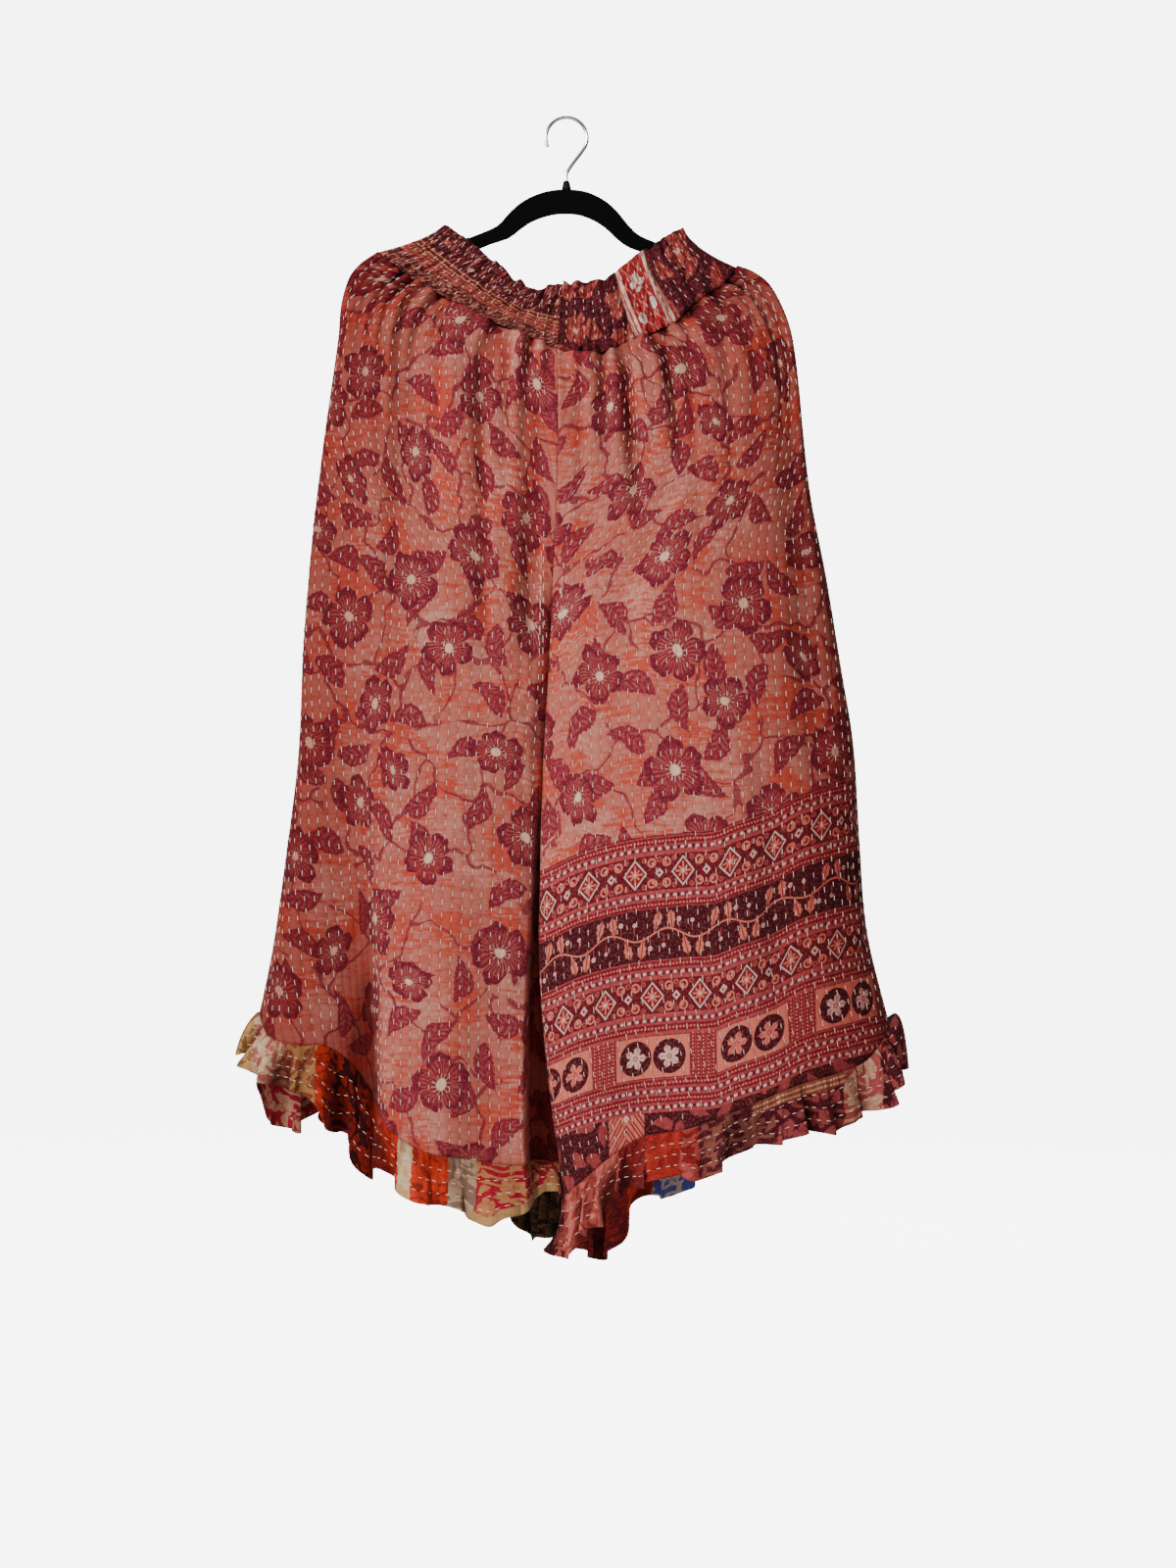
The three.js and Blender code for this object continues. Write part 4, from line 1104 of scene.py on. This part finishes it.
ORANGE, CRIMSON, GOLD = (204, 52, 26), (164, 18, 44), (190, 142, 86)
OLIVE, TAUPE, SAND, NIGHT = (112, 82, 44), (136, 108, 90), (204, 172, 136), (72, 8, 24)
ROSE, RUST, BLUE, SCARLET = (184, 84, 78), (136, 28, 26), (66, 76, 146), (172, 44, 34)
DUSK, SHADOW, BARK, CORAL = (164, 70, 70), (30, 12, 8), (84, 56, 30), (200, 104, 92)
CLAY = (138, 78, 64)
# The patches end at these places, from the left, in a ground colour and a motif colour.
RUFFLE_PATCHES = {
    ("left", "front"): [
        (-300, GOLD, OLIVE), (-268, SAND, CRIMSON), (-238, GOLD, RUST), (-226, ORANGE, RUST),
        (-190, NIGHT, ORANGE), (-160, ORANGE, RUST), (-146, SAND, GOLD), (-112, ORANGE, RUST),
        (-86, TAUPE, SAND), (4, CRIMSON, GOLD), (10, OLIVE, GOLD),
    ],
    ("left", "back"): [
        (-255, CRIMSON, SAND), (-212, RUST, CRIMSON), (-176, NIGHT, ORANGE), (-120, ORANGE, SAND),
        # The left back's last patch, beside the inseam, is painted shadow: the dark hollow behind the front's
        # turned-out edge.
        (-60, NIGHT, ROSE), (10, SHADOW, BARK),
    ],
    ("right", "front"): [
        (-2, NIGHT, ROSE), (30, CORAL, RUST), (50, ROSE, CORAL), (74, RUST, NIGHT), (106, SCARLET, RUST),
        (126, RUST, ROSE), (196, NIGHT, CLAY), (262, NIGHT, DUSK), (300, DUSK, SAND), (330, NIGHT, DUSK),
    ],
    ("right", "back"): [
        (60, RUST, NIGHT), (84, ORANGE, RUST), (140, BLUE, SAND), (220, DUSK, NIGHT), (330, NIGHT, DUSK),
    ],
}
for (side, face), patches in RUFFLE_PATCHES.items():
    points, shade = hang_ruffle(side, face)
    along_edge = arc_lengths(points, 1)[-1][None] + 0 * points[..., 0]
    down = arc_lengths(points, 0)
    # The ruffle's painted shade, deepened to near black where it is strongest.
    maps = {"cut": (along_edge, down), "kept": (0.95 * shade, 0.75 * shade**2), "edge": (0, down[-1:] - down)}
    name = f"ruffle_{side}_{face}"
    piece = cloth_piece(name + "_cloth", points, -SIDES[side] * FACES[face], maps, RUFFLE_CLOTH)
    piece.data.materials.append(ruffle_material(f"ruffle ends, {side} {face}", patches, side, face))
    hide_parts(name)
    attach(piece, "root")
    ahead = points[:, :: -SIDES[side]]
    facing = facing_of(ahead, FACES[face])
    draw = np.random.default_rng(90 + SIDES[side] * 2 + FACES[face])
    stitches = []
    for row in RUFFLE_STITCH_ROWS:
        path, normal = ahead[row, 12:-12], facing[row, 12:-12]
        stitches += stitches_on(path, normal, draw, RUFFLE_STITCH_PITCH, RUFFLE_STITCH, RUFFLE_LIFT)
    stitches = thread_piece(name + "_stitches", stitches)
    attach(stitches, "root")

# ---- Waistband: a casing that is gathered on its elastic ----
# Sari cloth turned over a broad elastic and stitched through in rows. The front is joined from
# four pieces, the back is one, and the hanger's arms hold it out at its ends.
BAND_TOP_ENDS = ((-119, -103.5), (113, -105.5))
BAND_TOP_DROOP = [
    (0.0, 0), (0.1, -14), (0.2, -33), (0.3, -53), (0.4, -62), (0.5, -57), (0.64, -54), (0.7, -48),
    (0.76, -37), (0.86, -21), (1.0, 0),
]
BAND_TOP_DEPTH = 12
BAND_NIP = 10
BAND_BACK_SAG = 6
BAND_CLOTH = 1.6
BAND_HEIGHT = 70
BAND_ROWS, BAND_COLUMNS = 26, 64
BAND_COLUMN_WIDTH = 7
BAND_ROW_PITCH = 7
BAND_STITCH, BAND_STITCH_PITCH, BAND_LIFT = 4.6, 9.0, 1.05


def hang_band(face, start, end):
    """A stretch of the band, from one of its 64 columns to another."""
    outward = FACES[face]
    index = np.linspace(start, end, int((end - start) * 5) + 1)[None, :]
    down = np.linspace(0, 1, BAND_ROWS)[:, None]
    turn = math.pi * index / BAND_COLUMNS
    share = (1 - np.cos(turn)) / 2
    (left_x, left_z), (right_x, right_z) = BAND_TOP_ENDS
    sag = BAND_BACK_SAG * np.sin(turn) if face == "back" else 0
    top_z = lerp(left_z, right_z, share) + along(BAND_TOP_DROOP, share) - sag
    middle = CENTRE[0][1]
    halves = (lerp(WAIST_SEAM[0][0], middle, 2 * share), lerp(middle, WAIST_SEAM[-1][0], 2 * share - 1))
    seam_x = np.where(share < 0.5, *halves)
    nip = 4 * down * (1 - down) * BAND_NIP * np.cos(turn) ** 3
    x = lerp(lerp(left_x, right_x, share), seam_x, down) + nip
    y = outward * lerp(BAND_TOP_DEPTH, DEPTH[0][1], down) * np.sin(turn) ** ROUNDING
    z = lerp(top_z, along(WAIST_SEAM, seam_x), down)
    points = np.stack(np.broadcast_arrays(x, y, z), axis=2)
    facing = facing_of(points, outward)
    swing = np.minimum(1, 2 * np.sin(turn))
    width = arc_lengths(points, 1) + start * BAND_COLUMN_WIDTH
    height = down * BAND_HEIGHT
    seed = 160 + outward
    crinkle = GATHER_DEPTH * 0.5 * np.cos(math.pi * index) + 3.0 * ripples(width, height, 4.0, 60, seed)
    crinkle = crinkle + 2.3 * ripples(width, height, 5.5, 14, seed + 5)
    # Rows of stitching draw the casing in between its channels.
    channels = 1.0 * np.abs(np.sin(4 * math.pi * down)) + 1.6 * np.sin(math.pi * down)
    bulge = swing * (crinkle + channels)
    points = points + facing * bulge[..., None]
    points[..., 2] += 2.4 * ripples(width, height, 7, 90, seed + 9) * np.exp(-down / 0.12) * swing
    points[..., 1] = outward * np.maximum(outward * points[..., 1], 0.3)
    return points, width, height


DARK, DARK_FIGURE, PALE_FIGURE = colour(84, 12, 28), colour(172, 78, 66), colour(218, 166, 142)


def bordered_design(tree, u, v, place):
    """Slivers of the print, then two dotted gold lines, a hatched stripe and a crinkled edge."""
    sliver = noise(tree, place, 5, 1.0, stretch=(2.2, 0.38, 1)).above(0.61, 0.03)
    pale = noise(tree, shifted(tree, place, (333, 71, 0)), 4, 1.0, stretch=(2.2, 0.5, 1)).above(0.66, 0.03)
    lines = nearest(v, (37.0, 42.0))
    dots = long((u * 1.6).wrapped(3.4), lines).below(1.25, 0.3)
    hatch = (u + v * 0.4).wave(3.2).above(0.1, 0.3) * v.wave(4.4).above(-0.2, 0.3)
    crinkled = noise(tree, place, 3.6, 2.0, 0.6, stretch=(1.5, 0.9, 1))
    return painted(
        tree,
        DARK,
        (sliver, DARK_FIGURE),
        (pale, PALE_FIGURE),
        (v.above(35), colour(96, 18, 26)),
        (dots, colour(206, 130, 92)),
        (v.above(44), colour(136, 48, 44)),
        (v.near(50, 5.5) * hatch, colour(192, 106, 88)),
        (v.above(56), colour(86, 16, 27)),
        (v.above(56) * crinkled.above(0.53, 0.04), colour(172, 108, 90)),
    )


def flowered_design(tree, u, v, place):
    """The border's dark ground, with large salmon flowers and leaves drawn narrow."""
    motifs = effect(tree, flower_print, Place=joined(tree, u * 1.5 + 40, v + 20), Size=1.5)
    figure = motifs["Blossom"].most(motifs["Leaf"])
    lines = motifs["Vein"].most(noise(tree, place, 3, 1.0, stretch=(1.6, 0.5, 1)).above(0.55, 0.03))
    heart = (motifs["Heart"], PALE_FIGURE)
    return painted(tree, DARK, (figure, DARK_FIGURE), (figure * lines, colour(140, 30, 40)), heart)


def inset_design(tree, u, v, place):
    """A red piece with pale stripes along both edges, and white trefoils and ovals between."""
    side = abs(u)
    rising, falling = (abs((side * 0.9 + v * slope).wrapped(11)).below(0.9) for slope in (0.5, -0.5))
    lattice = rising.most(falling)
    trefoil = long(u, v - 17).below(4).most(long(side - 3.8, v - 23).below(3.4))
    trefoil = trefoil.most(long(u, v - 29).below(2.2))
    oval = long(u + 7, (v - 55) / 1.3).below(4.2).most(long(u - 8, (v - 46) / 1.5).below(3.6))
    white = trefoil.most(oval)
    return painted(
        tree,
        colour(160, 32, 40),
        (lattice, colour(206, 104, 88)),
        (nearest(side, (14.6, 19.6)).below(1.5, 0.4), colour(228, 186, 164)),
        (side.near(17.1, 0.7), colour(206, 104, 88)),
        (white, colour(226, 206, 190)),
    )


def band_material(name, design):
    """Band cloth, drawn up on its elastic, with painted shade in the creases of its gathers."""
    material, tree = new_material(name)
    place = millimetres(tree, "cut")
    u, v = parts_of(tree, place)
    wear = noise(tree, place, 2.4, 3.0, 0.65)
    crease = noise(tree, place, 3.2, 2.0, 0.6, stretch=(1.5, 0.26, 1))
    dye = design(tree, u, v, place)
    # Painted shade: the cloth is darkened in the creases between the gathers.
    dye = mixed(tree, crease.below(0.49, 0.1) * 0.9, dye, times(tree, dye, (0.3, 0.16, 0.18)))
    give_finish(material, worn_with_groove_shade(tree, dye, wear, 0), crease * 2.6)
    return material


# The columns of the band that each piece takes, its material slot and its design.
BAND_PIECES = {
    "waistband_front_bordered": ("front", 0, 32, "band_cloth", bordered_design),
    "waistband_front_flowered": ("front", 32, 41, "band_cloth", flowered_design),
    "waistband_front_inset": ("front", 41, 47, "band_inset", inset_design),
    "waistband_front_end": ("front", 47, 64, "band_cloth", flowered_design),
    "waistband_back": ("back", 0, 64, "band_cloth", flowered_design),
}
for node, (face, start, end, slot, design) in BAND_PIECES.items():
    points, width, height = hang_band(face, start, end)
    centred = width - (width[:, :1] + width[:, -1:]) / 2 if slot == "band_inset" else width
    piece = cloth_piece(node + "_cloth", points, FACES[face], {"cut": (centred, height)}, BAND_CLOTH)
    piece.data.materials.append(band_material(node.replace("_", " "), design))
    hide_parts(node)
    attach(piece, "root")
    facing = facing_of(points, FACES[face])
    draw = np.random.default_rng(200 + start)
    stitches = []
    for at in np.arange(4, width[0, -1] - width[0, 0] - 3, BAND_ROW_PITCH):
        column = int(np.searchsorted(width[0] - width[0, 0], at))
        path, normal = points[2:-2, column], facing[2:-2, column]
        stitches += stitches_on(path, normal, draw, BAND_STITCH_PITCH, BAND_STITCH, BAND_LIFT)
    stitches = thread_piece(node + "_stitches", stitches)
    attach(stitches, "root")
    cut = [float(arc_lengths(points, axis).take(-1, axis).mean()) * MM for axis in (1, 0)]

# ---- Hanger: a flat board with an arched neck, its collar and its wire hook ----
# Moulded plastic flocked with black velvet fibre, a dark plastic collar pressed in at the top of
# the arch, and a bent chromed wire.

# Each part's material, dark and light colour, size of grain, roughness, relief, nap and metal.
HANGER_FINISHES = {
    "hanger_board": ("black velvet flock", (0, 0, 1), (9, 9, 11), 0.0006, 1.0, 0.5, 0.04, 0),
    "hanger_collar": ("dark collar", (14, 15, 22), (30, 32, 44), 0.002, 0.45, 0.1, 0, 0),
    "hanger_hook": ("chromed wire", (200, 202, 206), (228, 230, 232), 0.0015, 0.22, 0.04, 0, 1),
}
for node, (name, dark, light, grain, roughness, relief, nap, metal) in HANGER_FINISHES.items():
    material, tree = new_material(name)
    shade = noise(tree, object_place(tree), grain, 2.0)
    give_finish(material, mixed(tree, shade, colour(*dark), colour(*light)), shade, roughness, relief, nap)
    tree.nodes["Principled BSDF"].inputs["Metallic"].default_value = metal
    solid = bpy.data.objects[node]
    solid.data.materials.clear()
    solid.data.materials.append(material)

# ---- Stage, light and camera ----
# A plain pale floor lies below the hem, in a pale room. Large soft lights stand in front, to the
# left and near the camera, and a weaker one behind.

# The paper and the room glow where they are looked at, but do not light the cloth with it.
PAPER_GLOW = 6.45
FLOOR_HEIGHT = -1.45
FLOOR_REACH = 6
shape = bmesh.new()
bmesh.ops.create_grid(shape, x_segments=2, y_segments=2, size=FLOOR_REACH)
for vertex in shape.verts:
    vertex.co.z = FLOOR_HEIGHT
mesh = bpy.data.meshes.new("pale_floor")
shape.to_mesh(mesh)
shape.free()
floor = bpy.data.objects.new("pale_floor", mesh)
bpy.context.scene.collection.objects.link(floor)
paper, tree = new_material("pale paper")
tone = noise(tree, object_place(tree), 0.8, 2.0)
shader = tree.nodes["Principled BSDF"]
feed(tree, shader.inputs["Base Color"], mixed(tree, tone, colour(240, 240, 240), colour(242, 242, 242)))
shader.inputs["Roughness"].default_value = 1
shader.inputs["Emission Color"].default_value = (1, 1, 1, 1)
feed(tree, shader.inputs["Emission Strength"], put(tree, "LightPath") * PAPER_GLOW)
floor.data.materials.append(paper)

ROOM_LIGHT = 0.12
world = bpy.data.worlds.new("soft room")
world.use_nodes = True
tree = world.node_tree
tree.nodes["Background"].inputs[0].default_value = (1, 1, 1, 1)
feed(tree, tree.nodes["Background"].inputs[1], put(tree, "LightPath") * PAPER_GLOW + ROOM_LIGHT)
bpy.context.scene.world = world

LIGHT_AIM = (0.0, 0.0, -0.6)


def soft_light(name, place, size, power):
    """A square soft light, turned so that it points at the middle of the legs."""
    lamp = bpy.data.lights.new(name, "AREA")
    lamp.size = size
    lamp.energy = power
    holder = bpy.data.objects.new(name, lamp)
    holder.location = place
    aim = np.array(LIGHT_AIM) - np.array(place)
    flat = math.hypot(aim[0], aim[1])
    holder.rotation_euler = (math.atan2(flat, -aim[2]), 0, math.atan2(-aim[0], aim[1]))
    bpy.context.scene.collection.objects.link(holder)


soft_light("window", (-1.6, -2.1, 0.7), 0.9, 96)
soft_light("fill", (0.1, -2.7, -0.4), 1.2, 13)
soft_light("back", (0.9, 2.6, 0.4), 1.6, 60)

CAMERA_PLACE = (0.0209, -2.4, -0.6448)
LENS = 56.8
SENSOR = 36
lens = bpy.data.cameras.new("camera")
lens.sensor_fit = "VERTICAL"
lens.sensor_height = SENSOR
lens.lens = LENS
camera = bpy.data.objects.new("camera", lens)
camera.location = CAMERA_PLACE
camera.rotation_euler = (math.pi / 2, 0, 0)
bpy.context.scene.collection.objects.link(camera)
bpy.context.scene.camera = camera
